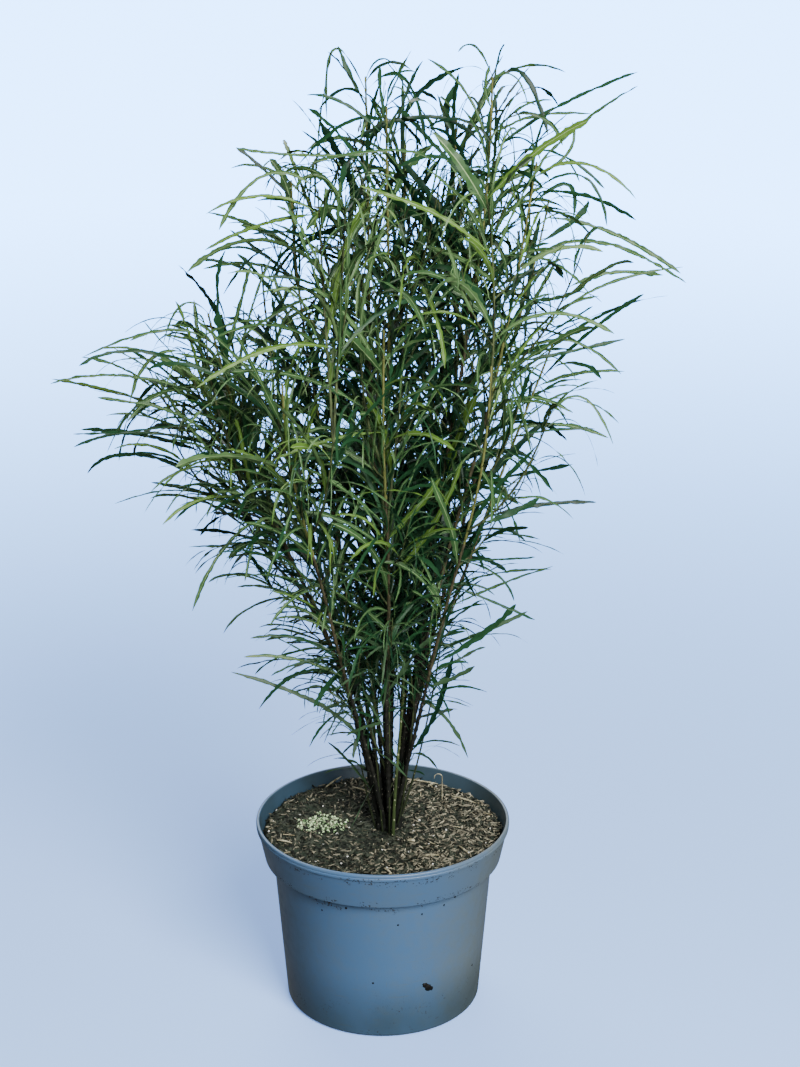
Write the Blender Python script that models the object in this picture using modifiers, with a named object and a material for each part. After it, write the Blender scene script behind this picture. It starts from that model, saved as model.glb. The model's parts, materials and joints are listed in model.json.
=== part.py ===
"""A columnar buckthorn growing in its nursery pot.

A shrub of seventeen upright stems, set with long, narrow, arching leaves, in a round
plastic pot filled with compost. Every stem is a bare limb as far as its first leaves.
From there it carries on as one mass of foliage, which keeps to its own space: the
places that lie nearer to its own stem and side shoots than to those of any other.

Lengths are in metres. The origin is the centre of the pot's flat underside, +Z points
up, the front of the plant faces -Y and its wide lobe reaches out to the left, at -X.
"""

import itertools
import math
import random
from dataclasses import dataclass

import bmesh
import bpy
import numpy as np

# Pot
POT_HEIGHT = 0.172
RIM_RADIUS = 0.113
COLLAR_TOP_RADIUS = 0.1115
COLLAR_FOOT_RADIUS = 0.1055
COLLAR_HEIGHT = 0.0346
BODY_TOP_RADIUS = 0.098
BASE_RADIUS = 0.0872
WALL = 0.0018
FLOOR_THICKNESS = 0.003
RIM_BEAD_HEIGHT = 0.006
BASE_CHAMFER = 0.002
POT_FACETS = 40
EDGE_ROUND = 0.0008
RIM_ROUND = 0.0012
UNDERCUT = 0.001
DRAIN_HOLES = 8
DRAIN_HOLE_RADIUS = 0.005
DRAIN_HOLE_RING = 0.068
DRAIN_HOLE_FACETS = 12

# Compost
SOIL_HEIGHT = 0.160
SOIL_CROWN = 0.002
SOIL_LEVEL_RADIUS = 0.022
SOIL_CREST_RADIUS = 0.050
SOIL_FALL_RADIUS = 0.085
SOIL_EDGE_WIDTH = 0.004
FIT_GAP = 0.0003

# Stems
FOOT_CENTRE = (0.006, 0.003)
FOOT_SHRINK = 0.050
FOOT_GAP = 0.0009
FOOT_FLARE = 1.15
FOOT_PASSES = 300
STEM_TIP_RADIUS = 0.0008
STEM_STEP = 0.012
STEM_TAPER = 0.8
STEM_WAVER = 0.0022
STEM_WAVES = (9.0, 7.0)
STEM_BEVEL_RESOLUTION = 1
STEM_SHARP_ANGLE = math.radians(60)
STEM_SPACING = 0.0054
STEM_PASSES = 40
BARE_STEM_THINNING, LEAFY_STEM_THINNING, SHOOT_THINNING = 2, 4, 3

# Side shoots
SHOOT_LOWEST, SHOOT_HIGHEST = 0.42, 0.80
SHOOT_HEIGHT_JITTER = 0.03
SHOOT_SPLAY = (0.35, 1.25)
SHOOT_ANGLE = math.radians(45.8)
SHOOT_UPTURN = 1.5
SHOOT_LENGTH = 0.15
SHOOT_LENGTH_SPREAD = (0.8, 1.2)
SHOOT_LENGTH_LOW, SHOOT_LENGTH_HIGH = 1.15, 0.75
SHOOT_STEP = 0.012
SHOOT_RADIUS = 0.0018
SHOOT_CLEARANCE = 0.016
TWIG_SOLID_RADIUS = 0.0017
JOINT_GAP = 0.0003

# Leaves
CROWN_HEIGHT = 0.684
LEAFLESS_FOOT = 0.035
NODE_SPACING = 0.0085
TOP_NODE = 0.003
SHOOT_FOR_EACH_LEAF = 0.0205
NODE_STRIDES = ((4, 0), (4, 2), (2, 1))
GOLDEN_ANGLE = math.radians(137.5)
LEAF_STEPS = 12
LEAF_LONG = 0.104
LEAF_SHORT = 0.046
LEAF_WIDE = 0.0056
LEAF_SLIM = 0.0034
LEAF_LENGTH_SPREAD = (0.82, 1.14)
LEAF_WIDTH_SPREAD = (0.75, 1.15)
FULL_LEAF_HEIGHT = 0.62
YOUNGEST_LEAF_SHARE = 0.45
YOUNG_LENGTH = 0.09
LEAF_TURN_JITTER = 0.35
LEAF_UPWARD = 0.3
LEAF_RISE = (0.55, 0.95)
LEAF_DROOP = (0.3, 1.45)
DROOP_LOW, DROOP_HIGH = 0.9, 1.2
LEAF_SWAY = 0.35
LEAF_ROLL = 0.8
OUTER_LEAF_ROLL = 0.5
OUTER_LEAF_CROWN = 0.45
LARGER_THAN_LIFE = 1.4
LEAF_KEEL = 0.013
LEAF_NARROWING = 0.88
LEAF_ROOT_WIDTH = 0.0015
LEAF_ROOT_KEEL = 0.0006
LONG_LEAF = 0.082
PLACES_PER_RUN = 5
SIDE_SHOOT_MARGIN = 0.008
SPACE_GAP = 0.001
LEAF_CLEARANCE = 0.0055
TURNS_TRIED = (0.0, 0.6, -0.6, 1.2, -1.2)


@dataclass(frozen=True)
class Stem:
    """One stem, by where its tip stands over the pot and how high its leaves begin."""

    name: str
    tip: tuple
    height: float
    leafy_from: float
    foot_radius: float
    side_shoots: int
    early_lean: float = 0.22
    late_lean: float = 0.95


# Tips are given from the pot's axis, and heights from the top of the compost. The
# early and the late lean are the shares of the way out to the tip towards which a stem
# heads in its lowest and in its middle third.
STEMS = (
    Stem("top_left", (-0.012, 0.010), 0.658, 0.190, 0.0023, 2),
    Stem("top_front", (0.005, -0.045), 0.640, 0.130, 0.0021, 2),
    Stem("top_right", (0.088, -0.015), 0.660, 0.130, 0.0023, 2),
    Stem("top_back", (0.062, 0.060), 0.620, 0.150, 0.0022, 2),
    Stem("right", (0.121, -0.060), 0.600, 0.095, 0.0021, 2, 0.12, 0.78),
    Stem("right_back", (0.141, 0.070), 0.551, 0.095, 0.0020, 2, 0.08, 0.72),
    Stem("left", (-0.138, -0.045), 0.478, 0.085, 0.0023, 3, 0.12, 0.80),
    Stem("left_upper", (-0.073, 0.015), 0.575, 0.150, 0.0021, 2),
    Stem("left_back", (-0.104, 0.095), 0.490, 0.090, 0.0020, 2),
    Stem("front", (0.003, -0.115), 0.480, 0.110, 0.0023, 2),
    Stem("back", (0.020, 0.110), 0.593, 0.120, 0.0021, 2),
    Stem("right_low", (0.143, 0.005), 0.445, 0.080, 0.0019, 2, 0.04, 0.62),
    Stem("left_low", (-0.192, 0.022), 0.400, 0.080, 0.0019, 2, 0.00, 0.48),
    Stem("back_left", (-0.040, 0.160), 0.500, 0.085, 0.0019, 2),
    Stem("back_right", (0.085, 0.150), 0.465, 0.085, 0.0018, 2),
    Stem("front_right", (0.085, -0.130), 0.455, 0.090, 0.0018, 2),
    Stem("front_left", (-0.075, -0.125), 0.440, 0.090, 0.0019, 2),
)


@dataclass(frozen=True)
class OuterLeaf:
    """A leaf that sets the crown's outline, from a height on its stem to its point."""

    stem: str
    root_height: float
    point: tuple
    point_height: float
    arch: float


# The leaves that reach furthest to the left, over the top and to the right
OUTER_LEAVES = (
    OuterLeaf("top_left", 0.654, (0.024, 0.008), 0.664, 0.55),
    OuterLeaf("top_left", 0.640, (-0.050, 0.004), 0.632, 0.62),
    OuterLeaf("top_right", 0.656, (0.145, -0.018), 0.664, 0.32),
    OuterLeaf("right", 0.597, (0.198, -0.052), 0.657, 0.10),
    OuterLeaf("right", 0.575, (0.199, -0.066), 0.556, 0.22),
    OuterLeaf("right_back", 0.536, (0.254, 0.066), 0.489, 0.16),
    OuterLeaf("right_low", 0.438, (0.216, 0.010), 0.478, 0.12),
    OuterLeaf("right_low", 0.405, (0.201, -0.006), 0.421, 0.14),
    OuterLeaf("right_low", 0.368, (0.192, 0.016), 0.358, 0.20),
    OuterLeaf("right_low", 0.290, (0.183, 0.012), 0.302, 0.10),
    OuterLeaf("right_low", 0.232, (0.145, -0.004), 0.247, 0.08),
    OuterLeaf("right_low", 0.170, (0.126, 0.008), 0.204, -0.05),
    OuterLeaf("left_low", 0.397, (-0.246, -0.014), 0.435, 0.16),
    OuterLeaf("left_low", 0.380, (-0.277, 0.016), 0.409, 0.06),
    OuterLeaf("left_low", 0.345, (-0.257, 0.032), 0.361, 0.10),
    OuterLeaf("left_low", 0.296, (-0.197, 0.018), 0.318, 0.08),
    OuterLeaf("left_low", 0.262, (-0.166, 0.030), 0.271, 0.12),
    OuterLeaf("left_low", 0.152, (-0.128, 0.015), 0.148, 0.18),
    OuterLeaf("left_back", 0.480, (-0.156, 0.088), 0.497, 0.12),
    OuterLeaf("left_upper", 0.520, (-0.141, 0.008), 0.550, 0.12),
    OuterLeaf("left_upper", 0.560, (-0.117, 0.012), 0.602, 0.10),
)


@dataclass(frozen=True)
class Posture:
    """How a leaf is held: shares of its usual rise from the shoot, droop and length."""

    rise: float
    droop: float
    length: float


# A leaf with no room to arch over is held more upright, or is a short one
POSTURES = (Posture(1.0, 1.0, 1.0), Posture(0.75, 0.5, 0.9), Posture(0.75, 0.5, 0.6))


@dataclass
class Shoot:
    """A leafy length of stem or side shoot, as points with a radius at each end."""

    points: np.ndarray
    start_radius: float
    end_radius: float
    seed: int


@dataclass
class Leaf:
    """One leaf's midrib, with the direction across its blade and its greatest width."""

    midrib: np.ndarray
    across: np.ndarray
    width: float
    length: float


def clear_scene():
    for item in list(bpy.data.objects):
        bpy.data.objects.remove(item, do_unlink=True)


def new_collection(name):
    collection = bpy.data.collections.new(name)
    bpy.context.scene.collection.children.link(collection)
    return collection


def make_material(name, colour, roughness):
    material = bpy.data.materials.new(name)
    material.use_nodes = True
    shader = material.node_tree.nodes["Principled BSDF"]
    shader.inputs["Base Color"].default_value = (*colour, 1.0)
    shader.inputs["Roughness"].default_value = roughness
    shader.inputs["Metallic"].default_value = 0.0
    return material


def unit(vector):
    return vector / np.linalg.norm(vector)


def mixed(low, high, share):
    return low + (high - low) * share


def path_length(points):
    return float(np.linalg.norm(np.diff(points, axis=0), axis=1).sum())


def along(points, distance):
    """The place and the direction at a distance along a path."""
    for start, end in zip(points[:-1], points[1:]):
        step = float(np.linalg.norm(end - start))
        if distance <= step:
            return mixed(start, end, distance / step), unit(end - start)
        distance -= step
    return points[-1], unit(points[-1] - points[-2])


def cut_path(points, start, end):
    """The stretch of a path between two distances along it."""
    inner, passed = [], 0.0
    for index in range(len(points)):
        if index:
            passed += float(np.linalg.norm(points[index] - points[index - 1]))
        if start + 0.001 < passed < end - 0.001:
            inner.append(points[index])
    return np.array([along(points, start)[0], *inner, along(points, end)[0]])


def distance_at_height(points, height):
    """How far along a rising path it reaches a height above the compost."""
    passed = 0.0
    for start, end in zip(points[:-1], points[1:]):
        step = float(np.linalg.norm(end - start))
        if end[2] >= SOIL_HEIGHT + height:
            return passed + step * (SOIL_HEIGHT + height - start[2]) / (end[2] - start[2])
        passed += step
    return passed


def stem_feet():
    """The feet copy the plan of the tips, small, pushed apart until none touch."""
    feet = np.array([stem.tip for stem in STEMS]) * FOOT_SHRINK
    for _ in range(FOOT_PASSES):
        for i, first in enumerate(STEMS):
            for j, second in enumerate(STEMS[:i]):
                apart = feet[i] - feet[j]
                short = first.foot_radius + second.foot_radius + FOOT_GAP
                short -= float(np.linalg.norm(apart))
                if short > 0:
                    push = unit(apart) * short / 2
                    feet[i] += push
                    feet[j] -= push
    return feet + np.array(FOOT_CENTRE)


def stem_path(stem, foot, seed):
    """A stem leans out from its foot, and turns upright again towards its tip."""
    draw = random.Random(seed)
    count = round(stem.height / STEM_STEP)
    phase = [draw.uniform(0, math.tau) for _ in STEM_WAVES]
    reach = np.array(stem.tip) - foot
    points = []
    for index in range(count + 1):
        rise = index / count
        fall = 1 - rise
        ease = 3 * fall * rise * (fall * stem.early_lean + rise * stem.late_lean) + rise**3
        waver = STEM_WAVER * math.sin(math.pi * rise)
        sway = np.array([math.sin(wave * rise + start) for wave, start in zip(STEM_WAVES, phase)])
        place = foot + reach * ease + sway * waver
        points.append([*place, SOIL_HEIGHT + FIT_GAP + stem.height * rise])
    return np.array(points)


def stem_paths():
    """Every stem's path, eased apart where two would come too close to each other."""
    feet = stem_feet()
    paths = [stem_path(stem, feet[i], i) for i, stem in enumerate(STEMS)]
    for _ in range(STEM_PASSES):
        for i in range(len(paths)):
            for j in range(i):
                shared = min(len(paths[i]), len(paths[j]))
                for row in range(1, shared):
                    apart = paths[i][row, :2] - paths[j][row, :2]
                    short = STEM_SPACING - float(np.linalg.norm(apart))
                    if short > 0:
                        push = unit(apart) * short / 2
                        paths[i][row, :2] += push
                        paths[j][row, :2] -= push
    for path in paths:
        path[1, :2] = path[0, :2]
    return paths


def side_shoot(stem_points, stem, number, seed):
    """A side shoot leaves its stem outwards, and bends up to run beside it."""
    draw = random.Random(seed)
    share = mixed(SHOOT_LOWEST, SHOOT_HIGHEST, (number + 0.5) / stem.side_shoots)
    share += draw.uniform(-SHOOT_HEIGHT_JITTER, SHOOT_HEIGHT_JITTER)
    start, heading = along(stem_points, path_length(stem_points) * share)
    outward = math.atan2(stem.tip[1], stem.tip[0])
    side = outward + (1 if number % 2 else -1) * draw.uniform(*SHOOT_SPLAY)
    sideways = np.array([math.cos(side), math.sin(side), 0.0])
    direction = unit(heading * math.cos(SHOOT_ANGLE) + sideways * math.sin(SHOOT_ANGLE))
    length = SHOOT_LENGTH * draw.uniform(*SHOOT_LENGTH_SPREAD)
    length *= mixed(SHOOT_LENGTH_LOW, SHOOT_LENGTH_HIGH, share)
    steps = round(length / SHOOT_STEP)
    points = [start]
    for _ in range(steps):
        points.append(points[-1] + direction * length / steps)
        direction = unit(direction + np.array([0.0, 0.0, SHOOT_UPTURN / steps]))
    return np.array(points)


def distances(places, spine):
    """How far each place lies from the nearest segment of a spine."""
    starts, runs = spine
    offset = places[:, None, :] - starts[None, :, :]
    share = np.einsum("psk,sk->ps", offset, runs) / np.einsum("sk,sk->s", runs, runs)
    gap = offset - np.clip(share, 0, 1)[:, :, None] * runs[None, :, :]
    return np.sqrt(np.einsum("psk,psk->ps", gap, gap)).min(axis=1)


def segments(paths):
    """The start of every segment of some paths, and the run to its end."""
    starts = np.concatenate([path[:-1] for path in paths])
    runs = np.concatenate([np.diff(path, axis=0) for path in paths])
    return starts, runs


def in_own_space(places, own, others, margin):
    """Whether places lie nearer to their own spine than to the others, by a margin."""
    return bool((distances(places, others) - distances(places, own)).min() > margin)


def grow_side_shoots(paths):
    """The side shoots of each stem that keep to a space of their own."""
    grown = [[path] for path in paths]
    for index, stem in enumerate(STEMS):
        for number in range(stem.side_shoots):
            points = side_shoot(paths[index], stem, number, 100 + 10 * index + number)
            others = segments([p for i, mass in enumerate(grown) if i != index for p in mass])
            clear = distances(points, others).min() > SHOOT_CLEARANCE
            own = segments(grown[index])
            if clear and in_own_space(points, own, others, SIDE_SHOOT_MARGIN):
                grown[index].append(points)
    return grown


def leaf_on(shoot, node, distance, turn, posture):
    """The leaf at one node of a shoot: it rises, arches over and droops to its tip."""
    draw = random.Random(1000 * shoot.seed + node)
    root, heading = along(shoot.points, distance)
    length_left = path_length(shoot.points) - distance
    height = min(max((root[2] - SOIL_HEIGHT) / CROWN_HEIGHT, 0.0), 1.0)
    share = min(height / FULL_LEAF_HEIGHT, 1.0)
    young = min(YOUNGEST_LEAF_SHARE + length_left / YOUNG_LENGTH, 1.0)
    length = mixed(LEAF_SHORT, LEAF_LONG, share) * draw.uniform(*LEAF_LENGTH_SPREAD)
    length *= young * posture.length
    width = mixed(LEAF_SLIM, LEAF_WIDE, share) * draw.uniform(*LEAF_WIDTH_SPREAD)
    azimuth = node * GOLDEN_ANGLE + shoot.seed + turn
    azimuth += draw.uniform(-LEAF_TURN_JITTER, LEAF_TURN_JITTER)
    aim = np.array([math.cos(azimuth), math.sin(azimuth), LEAF_UPWARD])
    flat = unit(np.cross(heading, aim))
    outward = np.cross(flat, heading)
    rise = draw.uniform(*LEAF_RISE) * posture.rise
    droop = draw.uniform(*LEAF_DROOP) * mixed(DROOP_LOW, DROOP_HIGH, height) * posture.droop
    sway = draw.uniform(-LEAF_SWAY, LEAF_SWAY)
    roll = draw.uniform(-LEAF_ROLL, LEAF_ROLL)
    direction = unit(heading * math.cos(rise) + outward * math.sin(rise))
    pull = np.array([0.0, 0.0, -droop]) + flat * sway
    midrib = [root]
    for _ in range(LEAF_STEPS):
        midrib.append(midrib[-1] + direction * length / LEAF_STEPS)
        direction = unit(direction + pull / LEAF_STEPS)
    across = flat * math.cos(roll) + np.cross(direction, flat) * math.sin(roll)
    return Leaf(np.array(midrib), across, width, length)


def solid_stations(leaf):
    """The steps of a midrib that a solid leaf is built on: a long leaf has one more."""
    if leaf.length > LONG_LEAF:
        return (0, LEAF_STEPS // 3, 2 * LEAF_STEPS // 3, LEAF_STEPS)
    return (0, LEAF_STEPS // 2, LEAF_STEPS)


def straightened(leaf):
    """Places along the straight runs between a solid leaf's stations."""
    corners = leaf.midrib[list(solid_stations(leaf))]
    shares = [(place + 1) / PLACES_PER_RUN for place in range(PLACES_PER_RUN)]
    runs = zip(corners[:-1], corners[1:])
    return np.array([mixed(start, end, share) for start, end in runs for share in shares])


def outer_leaf(outer, path):
    """An outline leaf: it leaves its stem at a given height and arches to its point."""
    root = along(path, distance_at_height(path, outer.root_height))[0]
    point = np.array([*outer.point, SOIL_HEIGHT + outer.point_height])
    reach = float(np.linalg.norm(point - root))
    top = mixed(root, point, OUTER_LEAF_CROWN) + np.array([0.0, 0.0, outer.arch * reach])
    shares = np.linspace(0, 1, LEAF_STEPS + 1)[:, None]
    midrib = root * (1 - shares) ** 2 + top * 2 * shares * (1 - shares) + point * shares**2
    flat = unit(np.cross(point - root, np.array([0.0, 0.0, 1.0])))
    across = flat * math.cos(OUTER_LEAF_ROLL)
    across[2] += math.sin(OUTER_LEAF_ROLL)
    length = path_length(midrib)
    width = mixed(LEAF_SLIM, LEAF_WIDE, min(length / LEAF_LONG, 1.0))
    return Leaf(midrib, across, width, length)


def fits(leaf, own, others, taken):
    """Whether a leaf keeps to its mass's space, clear of the mass's limbs and leaves."""
    places = straightened(leaf)
    if places[:, 2].min() < SOIL_HEIGHT + LEAFLESS_FOOT:
        return False
    if leaf.midrib[:, 2].max() > SOIL_HEIGHT + CROWN_HEIGHT:
        return False
    margin = leaf.width * LARGER_THAN_LIFE + SPACE_GAP
    if not in_own_space(places, own, others, margin):
        return False
    if distances(places[3:], own).min() < LEAF_CLEARANCE:
        return False
    return taken is None or distances(places[2:], taken).min() > LEAF_CLEARANCE


def leaf_candidates(shoots):
    """Every node of a mass's shoots, evenly spread first and filled in afterwards."""
    for stride, first in NODE_STRIDES:
        for shoot in shoots:
            top = path_length(shoot.points) - TOP_NODE
            for node in range(first, int(top / NODE_SPACING), stride):
                yield shoot, node, top - node * NODE_SPACING


def grow_leaves(index, shoots, grown, own, others):
    """The leaves of one mass: its outline leaves, and then the others with room."""
    quota = round(sum(path_length(shoot.points) for shoot in shoots) / SHOOT_FOR_EACH_LEAF)
    leaves, taken = [], None
    for outer in OUTER_LEAVES:
        if outer.stem == STEMS[index].name:
            leaf = outer_leaf(outer, grown[index][0])
            if fits(leaf, own, others, taken):
                leaves.append(leaf)
                taken = segments([straightened(kept) for kept in leaves])
    for shoot, node, distance in leaf_candidates(shoots):
        if len(leaves) >= quota:
            break
        for posture, turn in itertools.product(POSTURES, TURNS_TRIED):
            leaf = leaf_on(shoot, node, distance, turn, posture)
            if fits(leaf, own, others, taken):
                leaves.append(leaf)
                taken = segments([straightened(kept) for kept in leaves])
                break
    return leaves


def mesh_object(name, mesh, collection):
    item = bpy.data.objects.new(name, mesh)
    collection.objects.link(item)
    return item


def swept_limb(name, points, radii, section, collection):
    """A tapering limb with flat ends: a curve swept to a tube, round if it has no section."""
    curve = bpy.data.curves.new(name, "CURVE")
    curve.dimensions = "3D"
    curve.use_fill_caps = True
    if section:
        curve.bevel_mode = "OBJECT"
        curve.bevel_object = section
    else:
        curve.bevel_depth = 1.0
        curve.bevel_resolution = STEM_BEVEL_RESOLUTION
    spline = curve.splines.new("POLY")
    spline.points.add(len(points) - 1)
    for point, place, radius in zip(spline.points, points, radii):
        point.co = (*place, 1.0)
        point.radius = radius
    drawn = mesh_object(name + "_curve", curve, collection)
    bpy.context.view_layer.update()
    swept = drawn.evaluated_get(bpy.context.evaluated_depsgraph_get())
    mesh = bpy.data.meshes.new_from_object(swept)
    bpy.data.objects.remove(drawn, do_unlink=True)
    shape = bmesh.new()
    shape.from_mesh(mesh)
    bmesh.ops.remove_doubles(shape, verts=shape.verts, dist=0.00001)
    bmesh.ops.recalc_face_normals(shape, faces=shape.faces)
    shape.to_mesh(mesh)
    shape.free()
    mesh.name = name
    return mesh_object(name, mesh, collection)


def twig_section(collection):
    """The three-sided section that twigs are swept from, as a guide."""
    curve = bpy.data.curves.new("twig_section", "CURVE")
    curve.dimensions = "2D"
    spline = curve.splines.new("POLY")
    spline.points.add(2)
    for index, point in enumerate(spline.points):
        angle = index * math.tau / 3
        point.co = (math.cos(angle), math.sin(angle), 0.0, 1.0)
    spline.use_cyclic_u = True
    guide = mesh_object("twig_section", curve, collection)
    guide.hide_render = True
    guide.display_type = "WIRE"
    return guide


def leaf_solid(name, leaf, collection):
    """A slim keeled blade, lofted from its root inside the twig to its point."""
    stations = solid_stations(leaf)
    shape = bmesh.new()
    rings, facing = [], None
    for station in stations[:-1]:
        level = max(station, stations[1])
        heading = unit(leaf.midrib[level + 1] - leaf.midrib[level - 1])
        side = unit(leaf.across - heading * float(leaf.across @ heading))
        below = np.cross(heading, side)
        facing = facing or (-1 if below[2] > 0 else 1)
        half = leaf.width / 2 * LARGER_THAN_LIFE * (1 if station < LEAF_STEPS / 2 else LEAF_NARROWING)
        keel = leaf.length * LEAF_KEEL
        if station == 0:
            half, keel = LEAF_ROOT_WIDTH / 2, LEAF_ROOT_KEEL
        place = leaf.midrib[station]
        corners = (place + side * half, place + below * facing * keel, place - side * half)
        rings.append([shape.verts.new(corner) for corner in corners])
    point = shape.verts.new(leaf.midrib[-1])
    shape.faces.new(rings[0])
    for lower, upper in zip(rings[:-1], rings[1:]):
        for corner in range(3):
            following = (corner + 1) % 3
            shape.faces.new((lower[corner], lower[following], upper[following], upper[corner]))
    for corner in range(3):
        shape.faces.new((rings[-1][corner], rings[-1][(corner + 1) % 3], point))
    bmesh.ops.triangulate(shape, faces=shape.faces)
    bmesh.ops.recalc_face_normals(shape, faces=shape.faces)
    mesh = bpy.data.meshes.new(name)
    shape.to_mesh(mesh)
    shape.free()
    return mesh_object(name, mesh, collection)


def keep_main_body(mesh):
    """Drops loose scraps and the skins of sealed hollows: only the largest body stays."""
    shape = bmesh.new()
    shape.from_mesh(mesh)
    waiting, bodies = set(shape.verts), []
    while waiting:
        body, edge = set(), [waiting.pop()]
        while edge:
            vert = edge.pop()
            body.add(vert)
            for other in (link.other_vert(vert) for link in vert.link_edges):
                if other in waiting:
                    waiting.discard(other)
                    edge.append(other)
        bodies.append(body)
    bodies.sort(key=len)
    for body in bodies[:-1]:
        bmesh.ops.delete(shape, geom=list(body), context="VERTS")
    shape.to_mesh(mesh)
    shape.free()


def foliage_mass(name, shoots, leaves, section, material, collection):
    """One mass: its stem, side shoots and leaves, joined by one union."""
    pieces = new_collection(name + "_pieces")
    main_limb = None
    for number, shoot in enumerate(shoots):
        points = shoot.points
        share = np.linspace(0, 1, len(points))
        radii = mixed(shoot.start_radius, shoot.end_radius, share)
        home = collection if number == 0 else pieces
        limb = swept_limb(f"{name}_limb_{number}", points, radii, section, home)
        main_limb = main_limb or limb
    for number, leaf in enumerate(leaves):
        leaf_solid(f"{name}_leaf_{number}", leaf, pieces)
    union = main_limb.modifiers.new("union", "BOOLEAN")
    union.operation = "UNION"
    union.operand_type = "COLLECTION"
    union.collection = pieces
    union.solver = "MANIFOLD"
    bpy.context.view_layer.update()
    joined = main_limb.evaluated_get(bpy.context.evaluated_depsgraph_get())
    mesh = bpy.data.meshes.new_from_object(joined)
    mesh.name = name
    bpy.data.objects.remove(main_limb, do_unlink=True)
    for piece in list(pieces.objects):
        bpy.data.objects.remove(piece, do_unlink=True)
    bpy.data.collections.remove(pieces)
    keep_main_body(mesh)
    mesh.materials.clear()
    mesh.materials.append(material)
    return mesh_object(name, mesh, collection)


def thinned(points, every):
    """A path with fewer points, which keeps both of its ends."""
    kept = list(range(0, len(points) - 1, every))
    if len(points) - 1 - kept[-1] < every / 2 and len(kept) > 1:
        kept.pop()
    return points[[*kept, len(points) - 1]]


def turned(name, profile, material, collection):
    """A round piece: its half section, turned about the pot's axis."""
    mesh = bpy.data.meshes.new(name)
    points = [(radius, 0.0, height) for radius, height in profile]
    mesh.from_pydata(points, [(i, i + 1) for i in range(len(points) - 1)], [])
    item = mesh_object(name, mesh, collection)
    screw = item.modifiers.new("turned", "SCREW")
    screw.steps = POT_FACETS
    screw.render_steps = POT_FACETS
    screw.use_merge_vertices = True
    screw.merge_threshold = 0.00005
    screw.use_smooth_shade = True
    item.data.materials.append(material)
    return item


def wall_radius(height, inset):
    """The body's outer radius at a height, less an inset."""
    share = height / (POT_HEIGHT - COLLAR_HEIGHT)
    return mixed(BASE_RADIUS, BODY_TOP_RADIUS, share) - inset


def collar_inside(height):
    """The inner radius of the collar at a height."""
    foot = POT_HEIGHT - COLLAR_HEIGHT + 2 * WALL
    share = (height - foot) / (POT_HEIGHT - foot)
    return mixed(COLLAR_FOOT_RADIUS, COLLAR_TOP_RADIUS, share) - WALL


def make_pot(material, collection, cutters):
    """The pot: a tapering body, a stepped collar, a beaded rim and drain holes."""
    step = POT_HEIGHT - COLLAR_HEIGHT
    bead = POT_HEIGHT - RIM_BEAD_HEIGHT
    profile = (
        (0.0, FLOOR_THICKNESS),
        (wall_radius(FLOOR_THICKNESS, WALL), FLOOR_THICKNESS),
        (BODY_TOP_RADIUS - WALL, step + WALL),
        (collar_inside(step + 2 * WALL), step + 2 * WALL),
        (collar_inside(POT_HEIGHT - EDGE_ROUND), POT_HEIGHT - EDGE_ROUND),
        (COLLAR_TOP_RADIUS - WALL + EDGE_ROUND, POT_HEIGHT),
        (RIM_RADIUS - RIM_ROUND, POT_HEIGHT),
        (RIM_RADIUS, POT_HEIGHT - RIM_ROUND),
        (RIM_RADIUS, bead + UNDERCUT),
        (RIM_RADIUS - UNDERCUT, bead),
        (COLLAR_TOP_RADIUS, bead - UNDERCUT),
        (COLLAR_FOOT_RADIUS, step + EDGE_ROUND),
        (COLLAR_FOOT_RADIUS - EDGE_ROUND, step),
        (BODY_TOP_RADIUS, step - EDGE_ROUND),
        (wall_radius(BASE_CHAMFER, 0.0), BASE_CHAMFER),
        (BASE_RADIUS - BASE_CHAMFER, 0.0),
        (0.0, 0.0),
    )
    pot = turned("pot", profile, material, collection)
    for index in range(DRAIN_HOLES):
        angle = (index + 0.5) * math.tau / DRAIN_HOLES
        bpy.ops.mesh.primitive_cylinder_add(
            vertices=DRAIN_HOLE_FACETS,
            radius=DRAIN_HOLE_RADIUS,
            depth=4 * FLOOR_THICKNESS,
            location=(DRAIN_HOLE_RING * math.cos(angle), DRAIN_HOLE_RING * math.sin(angle), 0.0),
        )
        cutter = bpy.context.active_object
        cutter.name = f"drain_cutter_{index + 1}"
        cutter.hide_render = True
        cutter.display_type = "WIRE"
        for home in list(cutter.users_collection):
            home.objects.unlink(cutter)
        cutters.objects.link(cutter)
    drains = pot.modifiers.new("drain_holes", "BOOLEAN")
    drains.operation = "DIFFERENCE"
    drains.operand_type = "COLLECTION"
    drains.collection = cutters
    return pot


def make_soil(material, collection):
    """The compost, which fills the pot to just under its rim."""
    step = POT_HEIGHT - COLLAR_HEIGHT
    shoulder = step + 2 * WALL + 2 * FIT_GAP
    edge_height = SOIL_HEIGHT - 2 * SOIL_CROWN
    edge = collar_inside(edge_height) - 2 * FIT_GAP
    floor = FLOOR_THICKNESS + FIT_GAP
    profile = (
        (0.0, SOIL_HEIGHT),
        (SOIL_LEVEL_RADIUS, SOIL_HEIGHT),
        (SOIL_CREST_RADIUS, SOIL_HEIGHT + SOIL_CROWN),
        (SOIL_FALL_RADIUS, SOIL_HEIGHT + SOIL_CROWN / 2),
        (edge - SOIL_EDGE_WIDTH, SOIL_HEIGHT - SOIL_CROWN / 2),
        (edge, edge_height),
        (collar_inside(shoulder) - 2 * FIT_GAP, shoulder),
        (BODY_TOP_RADIUS - WALL - 2 * FIT_GAP, step + WALL),
        (wall_radius(floor, WALL + 2 * FIT_GAP), floor),
        (0.0, floor),
    )
    return turned("soil", profile, material, collection)


def stem_radius(stem, share):
    """A stem's radius at a share of its length: it tapers fastest near its foot."""
    return mixed(stem.foot_radius, STEM_TIP_RADIUS, share**STEM_TAPER)


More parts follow.
